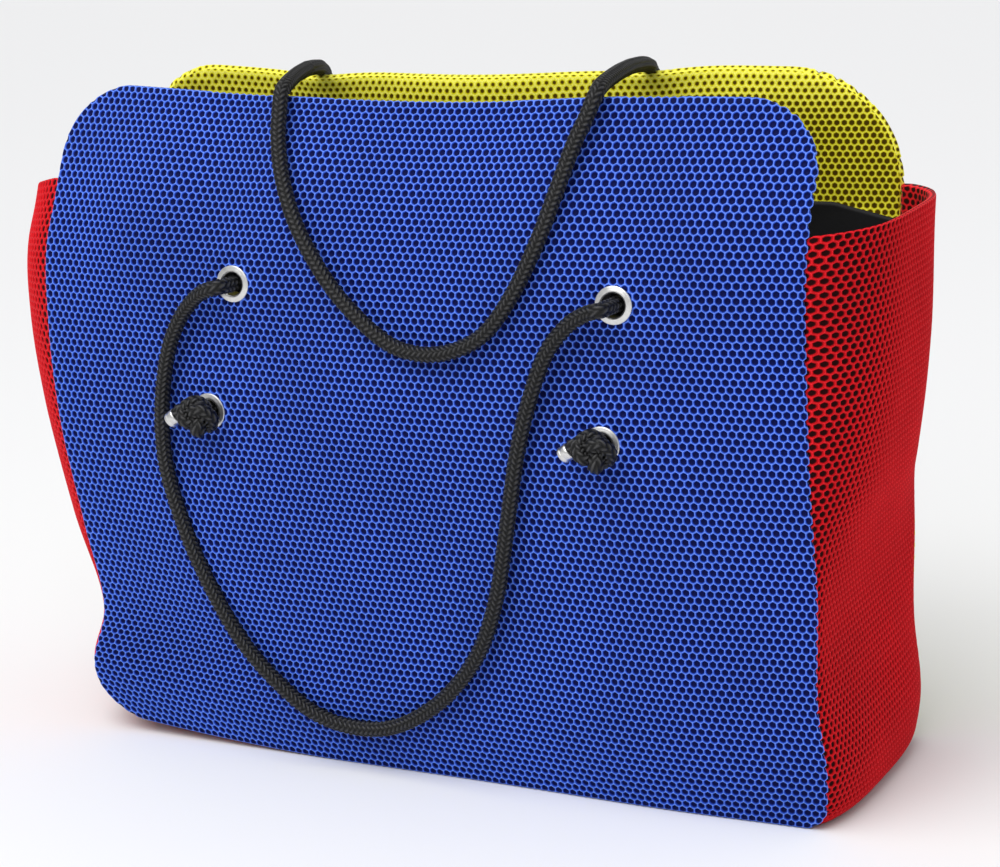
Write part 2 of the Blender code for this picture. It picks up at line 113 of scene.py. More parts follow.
BACK_LEFT_Y = [
    (0.0, 0.078), (0.023, 0.082), (0.129, 0.076), (0.234, 0.058), (0.308, 0.038), (HEIGHT, 0.014),
]
BACK_RIGHT_Y = [(0.0, 0.078), (0.023, 0.082), (0.234, 0.083), (0.308, 0.085), (HEIGHT, 0.080)]
FRONT_BOW = [(0.0, 0.0), (0.023, 0.002), (0.129, 0.009), (0.234, 0.012), (0.306, 0.010), (HEIGHT, 0.010)]
BACK_BOW = [(0.0, 0.0), (0.023, 0.002), (0.129, 0.008), (0.234, 0.008), (0.306, 0.004), (HEIGHT, 0.0)]
LEFT_BULGE = [
    (0.0, 0.012), (0.023, 0.021), (0.064, 0.022), (0.105, 0.036), (0.175, 0.041), (0.260, 0.0425),
    (0.320, 0.0385),
]
RIGHT_BULGE = [
    (0.0, 0.008), (0.023, 0.009), (0.070, 0.004), (0.117, 0.001), (0.150, 0.008), (0.170, 0.0155),
    (0.202, 0.0235), (0.234, 0.0285), (0.306, 0.0305),
]
FRONT_SWELLS = [(0.80, 0.045, 0.16, 0.050, 0.006)]
BACK_SWELLS = [(0.45, HEIGHT, 0.17, 0.060, 0.020)]
FRONT_SAG = [(0.0, 0.003), (0.12, 0.0045), (0.3, 0.007), (0.6, 0.007), (0.75, 0.0035), (1.0, 0.003)]
BACK_SAG = [
    (0.0, 0.001), (0.10, 0.0030), (0.18, 0.0055), (0.25, 0.0066), (0.32, 0.0068), (0.5, 0.0075),
    (0.62, 0.0060), (0.68, 0.0048), (0.75, 0.0036), (0.88, 0.0036), (1.0, 0.002),
]
EYELETS = [
    ("upper_left", -0.086, 0.2695),
    ("upper_right", 0.1325, 0.2695),
    ("lower_left", -0.104, 0.199),
    ("lower_right", 0.1255, 0.198),
]
EYELET_FLANGE, EYELET_HOLE, EYELET_WALL = 0.010, 0.006, 0.0008
LINING_DEPTH = FABRIC + 0.0006  # from a panel's outer face to its lining
BAND_LINING_DEPTH = FABRIC + 0.0014
STACK = LINING_DEPTH + LINING  # from the outer face to the lining's inner face
WASHER = 0.0008
KNOT_STANDOFF = 0.0130
KNOT_SINK, KNOT_CLOSER = 0.0014, 0.0010  # the knots hang this much lower, and lie this much closer
KNOT_RING, KNOT_TUBE, KNOT_FLAT = 0.0055, 0.0030, 0.0037  # its ring, and its sway across and out of it
SLEEVE_RADIUS, SLEEVE_LENGTH = 0.0044, 0.0060
SLEEVE_WAY = Vector((-0.79, 0.0, -0.61)).normalized()  # from the knot along the rope's end
SLEEVE_OFFSET = Vector((-0.0142, 0.0, -0.0022))  # from the knot's centre to the sleeve's

TOP_CORNERS = {"front": (0.040, 0.042), "back": (0.046, 0.068)}

# Soft dents and swellings that the fabric has besides, as
# (across, height, half width across, half height, push outwards in metres)
FRONT_DENTS = [
    (0.13, 0.310, 0.09, 0.045, 0.0036), (0.24, 0.300, 0.05, 0.050, -0.0026),
    (0.34, 0.325, 0.06, 0.060, 0.0022), (0.52, 0.300, 0.07, 0.060, -0.0024),
    (0.66, 0.315, 0.05, 0.055, 0.0026), (0.79, 0.320, 0.05, 0.050, -0.0026),
    (0.90, 0.290, 0.06, 0.060, 0.0030), (0.26, 0.235, 0.09, 0.018, -0.0026),
    (0.74, 0.233, 0.09, 0.018, -0.0026), (0.50, 0.215, 0.12, 0.030, 0.0024),
    (0.12, 0.200, 0.06, 0.050, -0.0022), (0.88, 0.210, 0.05, 0.030, -0.0022),
    (0.52, 0.130, 0.10, 0.055, -0.0028), (0.20, 0.120, 0.10, 0.050, 0.0030),
    (0.82, 0.130, 0.09, 0.055, 0.0028), (0.42, 0.050, 0.10, 0.022, 0.0022),
    (0.12, 0.050, 0.08, 0.025, -0.0022),
]
BACK_DENTS = [
    (0.50, HEIGHT + 0.010, 0.60, 0.020, 0.0140), (0.25, HEIGHT + 0.010, 0.05, 0.020, -0.0085),
    (0.68, HEIGHT + 0.010, 0.05, 0.020, -0.0085),
    (0.20, 0.290, 0.10, 0.040, 0.0020), (0.52, 0.270, 0.08, 0.060, -0.0020),
    (0.82, 0.300, 0.08, 0.050, 0.0020), (0.30, 0.120, 0.12, 0.060, 0.0018),
    (0.72, 0.130, 0.12, 0.050, -0.0016),
]
BACK_NARROWING = 0.994  # the back panel's right half is this much narrower, so it hides behind the band
# The front base corner that curls up at the left: how far, over what share of the width and what height
CURL_LIFT, CURL_RUN, CURL_FADE, CURL_POWER = 0.0100, 0.36, 0.075, 1.7
PUFF_RADIUS, PUFF_WIDTH, PUFF_HEIGHT = 0.0165, 0.0048, 0.0011  # the fabric stands proud round an eyelet
QUIET_SHARE, QUIET_HEIGHT = 0.10, 0.03  # dents die away this near to a seam and to the base
SURFACE_STEP = 0.002  # a surface's direction is read over this step

# The lining
LINING_INSET = 0.0036
LINING_TOP = 0.290
LINING_RISE, LINING_SLOPE = 0.0085, 0.08  # its top is this much higher away from the right seam
LINING_HOLE, LINING_HELD = 0.0078, 0.011  # its hole at an eyelet, and how far round it is held flat
LINING_TRIM = 0.016  # share of the band's width that its lining stays clear of each panel
LINING_START, LINING_SPAN = 0.02, 0.96  # where along the band its lining starts, and its share of it
FOLD_LIFT, FOLD_DEPTH = 0.0005, 0.004
FOLDS = [(0.3, 22.0), (1.2, 31.0), (2.2, 41.0), (0.8, 57.0)]  # heading, and waves

# Honeycomb
PITCHES = {"front": 0.0043, "back": 0.0041, "band": 0.00405}  # between neighbouring cells' middles
CELL_DEPTH = 0.0013
CELL_FLOOR = 0.62  # the floor's size beside the whole cell
NET_SPACING, NET_CLEARANCE = 0.011, 0.004  # of the points on the hidden inner face
PANEL_WIDTH = 0.444
BAND_WIDTH = 0.152
BAND_INNER_RUN = 0.030  # the band's inner face has cells this far down from both rims

# Free ropes: the CAD's routes, with the rear handle's bridges 1 to 2 mm lower
FRONT_ROUTE = [
    (-0.0890, -0.0988, 0.2690), (-0.0990, -0.0973, 0.2655), (-0.1089, -0.0938, 0.2585),
    (-0.1172, -0.0921, 0.2490), (-0.1248, -0.0918, 0.2340), (-0.1297, -0.0920, 0.2145),
    (-0.1322, -0.0923, 0.1925), (-0.1317, -0.0923, 0.1700), (-0.1268, -0.0923, 0.1480),
    (-0.1186, -0.0915, 0.1230), (-0.1076, -0.0903, 0.0980), (-0.0938, -0.0885, 0.0732),
    (-0.0775, -0.0861, 0.0530), (-0.0565, -0.0823, 0.0342), (-0.0345, -0.0803, 0.0264),
    (-0.0100, -0.0808, 0.0278), (0.0129, -0.0836, 0.0384), (0.0356, -0.0880, 0.0571),
    (0.0548, -0.0915, 0.0828), (0.0662, -0.0938, 0.1119), (0.0725, -0.0953, 0.1398),
    (0.0774, -0.0958, 0.1670), (0.0823, -0.0957, 0.1936), (0.0893, -0.0949, 0.2198),
    (0.0986, -0.0943, 0.2435), (0.1109, -0.0948, 0.2590), (0.1227, -0.0968, 0.2665),
    (0.1306, -0.0988, 0.2690),
]
REAR_DRAPE_ROUTE = [
    (-0.0617, -0.0668, 0.3680), (-0.0603, -0.0725, 0.3585), (-0.0587, -0.0778, 0.3442),
    (-0.0531, -0.0848, 0.3245), (-0.0431, -0.0903, 0.3024), (-0.0289, -0.0928, 0.2800),
    (-0.0139, -0.0938, 0.2626), (0.0072, -0.0943, 0.2457), (0.0254, -0.0945, 0.2400),
    (0.0446, -0.0943, 0.2418), (0.0639, -0.0938, 0.2517), (0.0803, -0.0923, 0.2728),
    (0.0939, -0.0888, 0.3007), (0.1021, -0.0828, 0.3249), (0.1089, -0.0758, 0.3470),
    (0.1142, -0.0715, 0.3600), (0.1174, -0.0671, 0.3702),
]
REAR_BRIDGE_ROUTES = {
    "left": [
        (-0.0905, 0.0262, 0.3702), (-0.0856, 0.0120, 0.3724), (-0.0786, -0.0100, 0.3740),
        (-0.0710, -0.0350, 0.3735), (-0.0640, -0.0568, 0.3716),
    ],
    "right": [
        (0.0960, 0.0530, 0.3716), (0.1000, 0.0330, 0.3746), (0.1060, 0.0040, 0.3767),
        (0.1120, -0.0260, 0.3769), (0.1165, -0.0560, 0.3746),
    ],
}
REAR_RISER_ROUTES = {
    "left": [
        (-0.0890, 0.0793, 0.2740), (-0.0925, 0.0763, 0.2860), (-0.0975, 0.0693, 0.3060),
        (-0.0990, 0.0577, 0.3280), (-0.0965, 0.0448, 0.3530), (-0.0940, 0.0364, 0.3655),
    ],
    "right": [
        (0.1290, 0.0978, 0.2740), (0.1240, 0.0963, 0.2860), (0.1150, 0.0933, 0.3070),
        (0.1040, 0.0853, 0.3290), (0.0955, 0.0745, 0.3530), (0.0930, 0.0642, 0.3673),
    ],
}

# Light: the sky's strength, a wide sun's strength, spread in degrees and direction, and a soft box's
# power in watts, size, place and aim
SKY, SUN, SUN_SPREAD = 0.62, 1.50, 50.0
SUN_FROM = Vector((-0.20, -0.45, 0.87))
FRONT_BOX, FRONT_BOX_SIZE = 15.0, 1.5
FRONT_BOX_PLACE, FRONT_BOX_AIM = Vector((0.10, -1.55, 1.55)), Vector((0.05, -0.20, 0.08))

# Braid: strands each way round, how far a strand travels per strand width, and relief
STRANDS = 8
STRAND_ADVANCE = 0.0030
BRAID_RELIEF = 0.00110
BRAID_SWELL = 0.30  # share of the relief that stands outside the rope's round
ROPE_SIDES, ROPE_STEP = 64, 0.00046

# Colours, linear: inside a hole, partly the darker layers seen through and partly painted shade of its
# depth; at its edge, painted shade fading out; on a web, the yarn's own colour; and on a web's crest, a
# painted highlight
BLUES_WITH_PAINTED_LIGHT = ((0.0008, 0.0034, 0.060), (0.008, 0.030, 0.30), (0.045, 0.135, 0.74), (0.185, 0.330, 0.95))
YELLOWS_WITH_PAINTED_LIGHT = ((0.080, 0.048, 0.001), (0.32, 0.24, 0.003), (0.84, 0.77, 0.012), (1.00, 0.97, 0.130))
REDS_WITH_PAINTED_LIGHT = ((0.017, 0.0002, 0.0005), (0.16, 0.0012, 0.0030), (0.66, 0.0048, 0.0100), (0.88, 0.020, 0.032))
HOLE_SIZES = {"blue": 0.390, "yellow": 0.355, "red": 0.350}  # a hole's half width beside the pitch


# ---- meshes and objects


def new_object(name, data):
    obj = bpy.data.objects.new(name, data)
    bpy.context.collection.objects.link(obj)
    return obj


def new_mesh(name, points, faces, material):
    """An object of the given points and faces. The points are an array, the faces are lists."""
    mesh = bpy.data.meshes.new(name)
    mesh.from_pydata(points.reshape(-1, 3).tolist(), [], faces)
    mesh.materials.append(material)
    return new_object(name, mesh)


def face_outwards(obj):
    """Drops points that no face uses, turns all faces outwards and shades them smooth."""
    bm = bmesh.new()
    bm.from_mesh(obj.data)
    bmesh.ops.delete(bm, geom=[vert for vert in bm.verts if not vert.link_faces], context="VERTS")
    bmesh.ops.recalc_face_normals(bm, faces=bm.faces)
    bm.to_mesh(obj.data)
    bm.free()
    obj.data.shade_smooth()
    return obj


# ---- the bag's shape


def cubic(t, start, end, leave, arrive):
    """The smooth step from start to end, t from 0 to 1, with its slopes at both."""
    rise = 3 * t**2 - 2 * t**3
    return start + (end - start) * rise + leave * (t**3 - 2 * t**2 + t) + arrive * (t**3 - t**2)


def through(points, at):
    """The smooth line through (place, value) pairs, read at an array."""
    places = np.array([place for place, value in points])
    values = np.array([value for place, value in points])
    steps = np.diff(places)
    slopes = np.diff(values) / steps
    inner = (slopes[:-1] * steps[1:] + slopes[1:] * steps[:-1]) / (steps[:-1] + steps[1:])
    tangents = np.concatenate([slopes[:1], inner, slopes[-1:]])
    at = np.clip(at, places[0], places[-1])
    i = np.clip(np.searchsorted(places, at, side="right") - 1, 0, len(steps) - 1)
    t = (at - places[i]) / steps[i]
    return cubic(t, values[i], values[i + 1], steps[i] * tangents[i], steps[i] * tangents[i + 1])


def swell(rows, across, height):
    """The push of all local swellings."""
    total = 0.0
    for at_across, at_height, half_width, half_height, push in rows:
        distance = ((across - at_across) / half_width) ** 2 + ((height - at_height) / half_height) ** 2
        total = total + push * np.exp(-distance)
    return total


def belly(across):
    """How much of the bow a place takes: 0 at the seams, 1 in the middle."""
    return 1 - np.abs(2 * across - 1) ** BELLY_POWER


def front_y(across, height):
    bow = through(FRONT_BOW, height) * belly(across)
    return through(FRONT_SEAM_Y, height) - bow - swell(FRONT_SWELLS, across, height)


def back_y(across, height):
    seams = through(BACK_LEFT_Y, height) * (1 - across) + through(BACK_RIGHT_Y, height) * across
    bow = through(BACK_BOW, height) * belly(across)
    return seams + bow - swell(BACK_SWELLS, across, height)


def seam_x(across, height):
    return through(LEFT_SEAM_X, height) * (1 - across) + through(RIGHT_SEAM_X, height) * across


def across_at(x, height):
    left, right = through(LEFT_SEAM_X, height), through(RIGHT_SEAM_X, height)
    return (x - left) / (right - left)


PANELS = {
    "front": (front_y, FRONT_SAG, -1, FRONT_DENTS),
    "back": (back_y, BACK_SAG, 1, BACK_DENTS),
}


def curl(across, height):
    """How far the front base corner curls up off the floor at the left."""
    share = np.clip(1 - across / CURL_RUN, 0, 1) ** CURL_POWER
    return CURL_LIFT * share * np.exp(-((height / CURL_FADE) ** 2))


def normals_of(place, a, b):
    """Unit normals of a surface by small steps along both its directions."""
    along = place(a + SURFACE_STEP, b) - place(a - SURFACE_STEP, b)
    upward = place(a, b + SURFACE_STEP) - place(a, b - SURFACE_STEP)
    normal = np.cross(along, upward)
    return normal / np.linalg.norm(normal, axis=-1, keepdims=True)


def quiet_near_edge(across, height):
    """1 inside a panel, falling to 0 at its seams and base, where dents die away."""
    side = np.clip(np.minimum(across, 1 - across) / QUIET_SHARE, 0, 1)
    base = np.clip(height / QUIET_HEIGHT, 0, 1)
    return side * side * (3 - 2 * side) * base


def puff(x, z):
    """The ring of fabric that stands proud round the eyelets."""
    total = 0.0
    for _, at_x, at_z in EYELETS:
        distance = np.hypot(x - at_x, z - at_z)
        total = total + PUFF_HEIGHT * np.exp(-(((distance - PUFF_RADIUS) / PUFF_WIDTH) ** 2))
    return total


def panel_place(side, across, height):
    """Points of a panel's outer face before its small dents, lying flat on the floor."""
    y_of, sag, _, _ = PANELS[side]
    drop = through(sag, across) * (height / HEIGHT) ** SAG_POWER
    return np.stack([seam_x(across, height), y_of(across, height), height - drop], axis=-1)


def panel_points(side, flat, depth):
    """Points of a panel that lie depth inside its outer face."""
    outward, dents = PANELS[side][2:]

    def place(a, h):
        points = panel_place(side, a, h)
        if side == "front":
            points[..., 2] += curl(a, h)
        return points

    a, h = flat[..., 0] / PANEL_WIDTH, flat[..., 1]
    if side == "back":
        a = a - (1 - BACK_NARROWING) * np.clip(a - 0.5, 0, None)
    here = place(a, h)
    normal = normals_of(place, a, h)
    normal = np.where(normal[..., 1:2] * outward > 0, -normal, normal)
    lift = swell(dents, a, h) * quiet_near_edge(a, h) + puff(here[..., 0], here[..., 2])
    return here + normal * (depth - lift)[..., None]


def band_outline(along):
    """Place and outward direction of the band in the XZ plane, with its bulge."""
    right = along > 0.5
    share = np.where(right, 1 - along, along)
    corner = np.where(right, BASE_CORNERS[1], BASE_CORNERS[0])
    rim = np.where(right, RIM_RIGHT, RIM_LEFT)
    outward = np.where(right, 1.0, -1.0)
    base_from = SIDE_SHARE + CORNER_SHARE
    turn = np.clip((share - SIDE_SHARE) / CORNER_SHARE, 0, 1) * math.pi / 2
    straight = rim + (corner - rim) * share / SIDE_SHARE
    height = np.where(share <= SIDE_SHARE, straight, corner * (1 - np.sin(turn)))
    x = seam_x(np.where(right, 1.0, 0.0), height) - outward * corner * (1 - np.cos(turn))
    to_middle = np.clip((share - base_from) / (0.5 - base_from), 0, 1)
    x = x + (BAG_MIDDLE.x - x) * to_middle
    bulge = np.where(right, through(RIGHT_BULGE, height), through(LEFT_BULGE, height))
    return x, height, outward * np.cos(turn), -np.sin(turn), bulge * np.cos(turn)


def band_points(along, width_share, depth):
    """Points of the band that lie depth inside its outer face."""

    def place(a, b):
        a, b = np.clip(a, 0, 1), np.clip(b, 0, 1)
        x, height, out_x, out_z, swelling = band_outline(a)
        across = np.clip(across_at(x, height), 0, 1)
        front = front_y(across, height) + FRONT_SEAM_ALLOWANCE
        back = back_y(across, height) - BACK_SEAM_ALLOWANCE
        near_rim = np.clip((height - RIM_FROM) / RIM_RUN, 0, None)
        dip = np.where(a > 0.5, RIM_DIPS[1], RIM_DIPS[0]) * (1 - (2 * b - 1) ** 2)
        out = swelling * (1 - np.abs(2 * b - 1) ** np.where(a > 0.5, BULGE_POWERS[1], BULGE_POWERS[0]))
        z = height + (RIM_BACK_RISE * b - dip) * near_rim + out_z * out
        tuck = TUCK * np.exp(-((np.minimum(b, 1 - b) / TUCK_SHARE) ** 2))
        z = np.maximum(z, 0.0) - out_z * tuck + curl(across, height) * (1 - b)
        return np.stack([x + out_x * (out - tuck), front + (back - front) * b, z], axis=-1)

    here = place(along, width_share)
    normal = normals_of(place, along, width_share)
    inward = np.array(BAG_MIDDLE) - here
    facing = (normal * inward).sum(axis=-1, keepdims=True)
    return here + np.where(facing < 0, -normal, normal) * np.asarray(depth)[..., None]


def band_ruler():
    """(share, metres) pairs along the band's middle line."""
    along = np.linspace(0, 1, 801)
    middle = band_points(along, np.full_like(along, 0.5), np.zeros_like(along))
    steps = np.linalg.norm(np.diff(middle, axis=0), axis=1)
    return along, np.concatenate([[0], np.cumsum(steps)])


# ---- honeycomb sheets

EDGE = FABRIC / 2  # the rolled edge's radius
BAND_CORNERS = (EDGE + 0.0006, EDGE + 0.0006)
ROLL_END = (math.pi - 1) * EDGE  # how far past the outline the roll reaches, flat
ROLL_DIMPLE = 0.24  # cells are pressed shallower where the sheet rolls round its edge
ROLL_FADE = 0.30  # and their holes close up, by this third coordinate on the lattice
ROLL_CLOSING = 0.6
TOP_PAINTED_LIGHT_RUNS, TOP_PAINTED_LIGHT_CLOSING = {"front": 0.0, "back": 0.030}, 0.30  # painted light: the back panel's holes close up towards its top edge, so that strip shows lighter


def outline_distance(flat, cut):
    """Signed distance outside a cut's rounded outline, and the outward direction."""
    width, height, bottom, top = cut
    from_middle = flat - np.array([width, height]) / 2
    side = np.sign(from_middle)
    above, right = side[..., 1] > 0, side[..., 0] > 0
    corner = np.where(above, np.where(right, *top[::-1]), np.where(right, *bottom[::-1]))
    past = np.abs(from_middle) - (np.array([width, height]) / 2 - corner[..., None])
    reach = np.hypot(past[..., 0], past[..., 1])
    in_corner = (past > 0).all(axis=-1)
    distance = np.where(in_corner, reach, past.max(axis=-1)) - corner
    sideways = past[..., 0] > past[..., 1]
    straight = np.stack([sideways, ~sideways], axis=-1).astype(float)
    out = np.where(in_corner[..., None], past / np.maximum(reach, 1e-9)[..., None], straight)
    return distance, out * side


def rolled_points(place, cut, flat, dimple):
    """Places of flat fabric points: beyond the outline they roll round the sheet's edge."""
    distance, out = outline_distance(flat, cut)
    angle = np.clip((distance + EDGE) / EDGE, 0, math.pi)
    rolled = angle > 0
    dimple = np.where(rolled, dimple * ROLL_DIMPLE, dimple)
    reach = np.where(rolled, -EDGE + (EDGE - dimple) * np.sin(angle), distance)
    depth = np.where(rolled, EDGE - (EDGE - dimple) * np.cos(angle), dimple)
    return place(flat + out * (reach - distance)[..., None], depth)


CORNER_STEPS = [(0, 2), (-1, 1), (-1, -1), (0, -2), (1, -1), (1, 1)]  # half pitches, half sides


class Cells:
    """Hexagonal cells over a flat cut, with shared corners."""

    def __init__(self, cut, pitch, keep):
        side = pitch / math.sqrt(3)
        half = np.array([pitch, side]) / 2
        rows, columns = int(cut[1] / (1.5 * side)) + 6, int(cut[0] / pitch) + 6
        j, i = (axis.ravel() for axis in np.meshgrid(np.arange(rows), np.arange(columns), indexing="ij"))
        keys = np.stack([2 * i + (j & 1), 3 * j], axis=-1)
        room = np.array(cut[:2]) - (columns * pitch, (rows - 1) * 1.5 * side)
        self.start = room / 2 + (pitch / 4, 0)
        kept = keep(self.start + keys * half)
        self.middles = (self.start + keys * half)[kept]
        steps = (keys[kept][:, None] + CORNER_STEPS).reshape(-1, 2)
        steps, places = np.unique(steps, axis=0, return_inverse=True)
        self.corners = places.reshape(-1, 6)
        self.flat = self.start + steps * half
        pairs = np.stack([self.corners, np.roll(self.corners, -1, axis=1)], axis=-1).reshape(-1, 2)
        _, first, count = np.unique(np.sort(pairs, axis=1), axis=0, return_index=True, return_counts=True)
        self.rim = pairs[first[count == 1]]
        self.on_rim = np.zeros(len(steps), bool)
        self.on_rim[self.rim.ravel()] = True
        self.open = ~self.on_rim[self.corners].any(axis=1)


class Sheet:
    """Collects the vertices and faces of one sheet, and each face corner's place on the lattice."""

    def __init__(self, pitch, cut, top_painted_light_run):
        self.pitch, self.cut, self.top_painted_light_run = pitch, cut, top_painted_light_run
        self.points, self.faces, self.lattice, self.count = [], [], [], 0

    def add(self, points):
        self.points.append(points)
        self.count += len(points)
        return self.count - len(points)

    def add_faces(self, faces, flat, start):
        """Faces as an array of vertex numbers, with the flat place of each of their corners."""
        self.faces.extend(faces.tolist())
        flat = flat.reshape(-1, 2)
        past = outline_distance(flat, self.cut)[0] + EDGE
        rolled = ROLL_FADE * np.clip(past / (math.pi * EDGE), 0, 1)
        # Painted light: near the top edge the holes close up, so the top strip shows lighter
        if self.top_painted_light_run:
            painted_light_near_top = np.clip(1 - (self.cut[1] - flat[:, 1]) / self.top_painted_light_run, 0, 1)
            rolled = np.maximum(rolled, TOP_PAINTED_LIGHT_CLOSING * painted_light_near_top)
        self.lattice.append(np.concatenate([(flat - start) / self.pitch, rolled[:, None]], axis=1))

    def add_cells(self, cells, placed, corner_first):
        """Walls and floors of open cells, and flat lids on the ones at the rim."""
        tops, flat_tops = cells.corners + corner_first, cells.flat[cells.corners]
        middles = cells.middles[cells.open][:, None]
        flat_floors = middles + (flat_tops[cells.open] - middles) * CELL_FLOOR
        first = self.add(placed(flat_floors.reshape(-1, 2), CELL_DEPTH))
        floors = first + np.arange(flat_floors.size // 2).reshape(-1, 6)

        def walls(top, bottom):
            ring = [top, np.roll(top, -1, 1), np.roll(bottom, -1, 1), bottom]
            return np.stack(ring, axis=2).reshape(-1, 4, *top.shape[2:])

        self.add_faces(
            walls(tops[cells.open], floors), walls(flat_tops[cells.open], flat_floors), cells.start,
        )
        self.add_faces(floors, flat_floors, cells.start)
        self.add_faces(tops[~cells.open], flat_tops[~cells.open], cells.start)

    def add_funnels(self, cells, placed, corner_first):
        """Funnel-shaped cells, and flat lids on the ones at the rim, facing the other way."""
        tops, flat_tops = cells.corners + corner_first, cells.flat[cells.corners]
        middles = cells.middles[cells.open]
        first = self.add(placed(middles, CELL_DEPTH))

        def funnels(rim, middle):
            middle = np.repeat(middle[:, None], 6, axis=1)
            return np.stack([np.roll(rim, -1, 1), rim, middle], axis=2).reshape(-1, 3, *rim.shape[2:])

        numbers = first + np.arange(len(middles))
        self.add_faces(
            funnels(tops[cells.open], numbers), funnels(flat_tops[cells.open], middles), cells.start,
        )
        self.add_faces(tops[~cells.open, ::-1], flat_tops[~cells.open, ::-1], cells.start)

    def make(self, name, material):
        obj = new_mesh(name, np.concatenate(self.points), self.faces, material)
        lattice = obj.data.attributes.new("lattice", "FLOAT_VECTOR", "CORNER")
        lattice.data.foreach_set("vector", np.concatenate(self.lattice).astype(np.float32).ravel())
        return face_outwards(obj)


def reached_from(net, walls, starts):
    """The triangles of a net that the starting edges border, and all that join them inside the walls."""
    beside = {}
    for number, corners in enumerate(net):
        for a, b in zip(corners, corners[1:] + corners[:1]):
            beside.setdefault(frozenset((a, b)), []).append(number)
    closed = {frozenset((int(a), int(b))) for a, b in walls}
    waiting = [n for a, b in starts for n in beside.get(frozenset((a, b)), [])]
    reached = set(waiting)
    while waiting:
        corners = net[waiting.pop()]
        for a, b in zip(corners, corners[1:] + corners[:1]):
            if frozenset((a, b)) not in closed:
                fresh = [n for n in beside[frozenset((a, b))] if n not in reached]
                reached.update(fresh)
                waiting.extend(fresh)
    return [net[n] for n in sorted(reached)]


def honeycomb_sheet(name, place, cut, pitch, holes, shows_inside, material, top_painted_light_run=0.0):
    """A closed sheet of spacer mesh: cells outside and round the edges, and inside where it shows."""
    hole_radius = EYELET_HOLE + EYELET_WALL + GAP

    def clear_of_holes(flat, radius):
        clear = np.ones(len(flat), bool)
        for hole in holes:
            clear &= np.hypot(*(flat - hole).T) > radius
        return clear

    def on_outside(flat, dimple):
        return rolled_points(place, cut, flat, dimple)

    def on_inside(flat, dimple):
        return place(flat, FABRIC - dimple * np.ones(len(flat)))

    outer = Cells(cut, pitch, lambda flat: (
        (outline_distance(flat, cut)[0] < ROLL_END) & clear_of_holes(flat, hole_radius)
    ))
    near_hole = ~clear_of_holes(outer.flat, hole_radius + pitch) & outer.on_rim
    at_edge = outer.on_rim & ~near_hole
    distance, out = outline_distance(outer.flat, cut)
    outer.flat += out * np.where(at_edge, ROLL_END - distance, 0.0)[:, None]
    for hole in holes:
        away = np.hypot(*(outer.flat - hole).T)
        snap = near_hole & (away < hole_radius + pitch)
        outer.flat = hole + (outer.flat - hole) * np.where(snap, hole_radius / away, 1.0)[:, None]
    sheet = Sheet(pitch, cut, top_painted_light_run)
    outer_first = sheet.add(on_outside(outer.flat, 0.0))
    sheet.add_cells(outer, on_outside, outer_first)

    # The inner face: cells where it shows, and a plain net to everything else
    margin = EDGE + pitch * 0.7
    inner = Cells(cut, pitch, lambda flat: (
        (outline_distance(flat, cut)[0] < -margin) & shows_inside(flat[:, 1])
        & clear_of_holes(flat, EYELET_FLANGE + pitch)
    ))
    inner_first = sheet.add(on_inside(inner.flat, 0.0))
    sheet.add_funnels(inner, on_inside, inner_first)

    # Net points: the outer sheet's edge, its holes again on the inner face, the inner cells' rim
    edge_ids, hole_ids, rim_ids = (np.flatnonzero(ids) for ids in (at_edge, near_hole, inner.on_rim))
    hole_first = sheet.add(on_inside(outer.flat[hole_ids], 0.0))
    axes = (np.arange(NET_SPACING, length, NET_SPACING) for length in cut[:2])
    grid = np.stack(np.meshgrid(*axes), axis=-1).reshape(-1, 2)
    fill = (outline_distance(grid, cut)[0] < -NET_SPACING / 2) & ~shows_inside(grid[:, 1])
    grid = grid[fill & clear_of_holes(grid, hole_radius + NET_CLEARANCE)]
    grid_first = sheet.add(on_inside(grid, 0.0))
    flat = np.concatenate([
        outer.flat[edge_ids] - out[edge_ids] * (ROLL_END + EDGE), outer.flat[hole_ids],
        inner.flat[rim_ids], grid,
    ])
    index = np.concatenate([
        outer_first + edge_ids, hole_first + np.arange(len(hole_ids)), inner_first + rim_ids,
        grid_first + np.arange(len(grid)),
    ])
    on_net = {k: n for n, k in enumerate([*edge_ids, *hole_ids])}
    inner_on_net = {k: n + len(on_net) for n, k in enumerate(rim_ids)}
    edges = [(on_net[a], on_net[b]) for a, b in outer.rim]
    at_outline = [edge for edge, (a, b) in zip(edges, outer.rim) if at_edge[a] and at_edge[b]]
    edges += [(inner_on_net[a], inner_on_net[b]) for a, b in inner.rim]
    _, _, triangles, sources, _, _ = delaunay_2d_cdt([Vector(pair) for pair in flat], edges, [], 2, 1e-7)
    net = [[sources[k][0] for k in triangle] for triangle in triangles]
    net = np.array(reached_from(net, edges, at_outline))[:, ::-1]
    sheet.add_faces(index[net], flat[net], outer.start)
    at_holes = outer.rim[near_hole[outer.rim].all(axis=1)]
    if len(at_holes):
        behind = hole_first + np.searchsorted(hole_ids, at_holes)
        barrel = np.concatenate([outer_first + at_holes[:, ::-1], behind], axis=1)
        sheet.add_faces(barrel, outer.flat[at_holes[:, [1, 0, 0, 1]]], outer.start)
    return sheet.make(name, material)


# ---- materials


def new_material(name, roughness, specular=0.5):
    """A material, its nodes, and its shader with what is the same all over the surface."""
    mat = bpy.data.materials.new(name)
    mat.use_nodes = True
    shader = mat.node_tree.nodes["Principled BSDF"]
    shader.inputs["Roughness"].default_value = roughness
    shader.inputs["Specular IOR Level"].default_value = specular
    return mat, mat.node_tree, shader


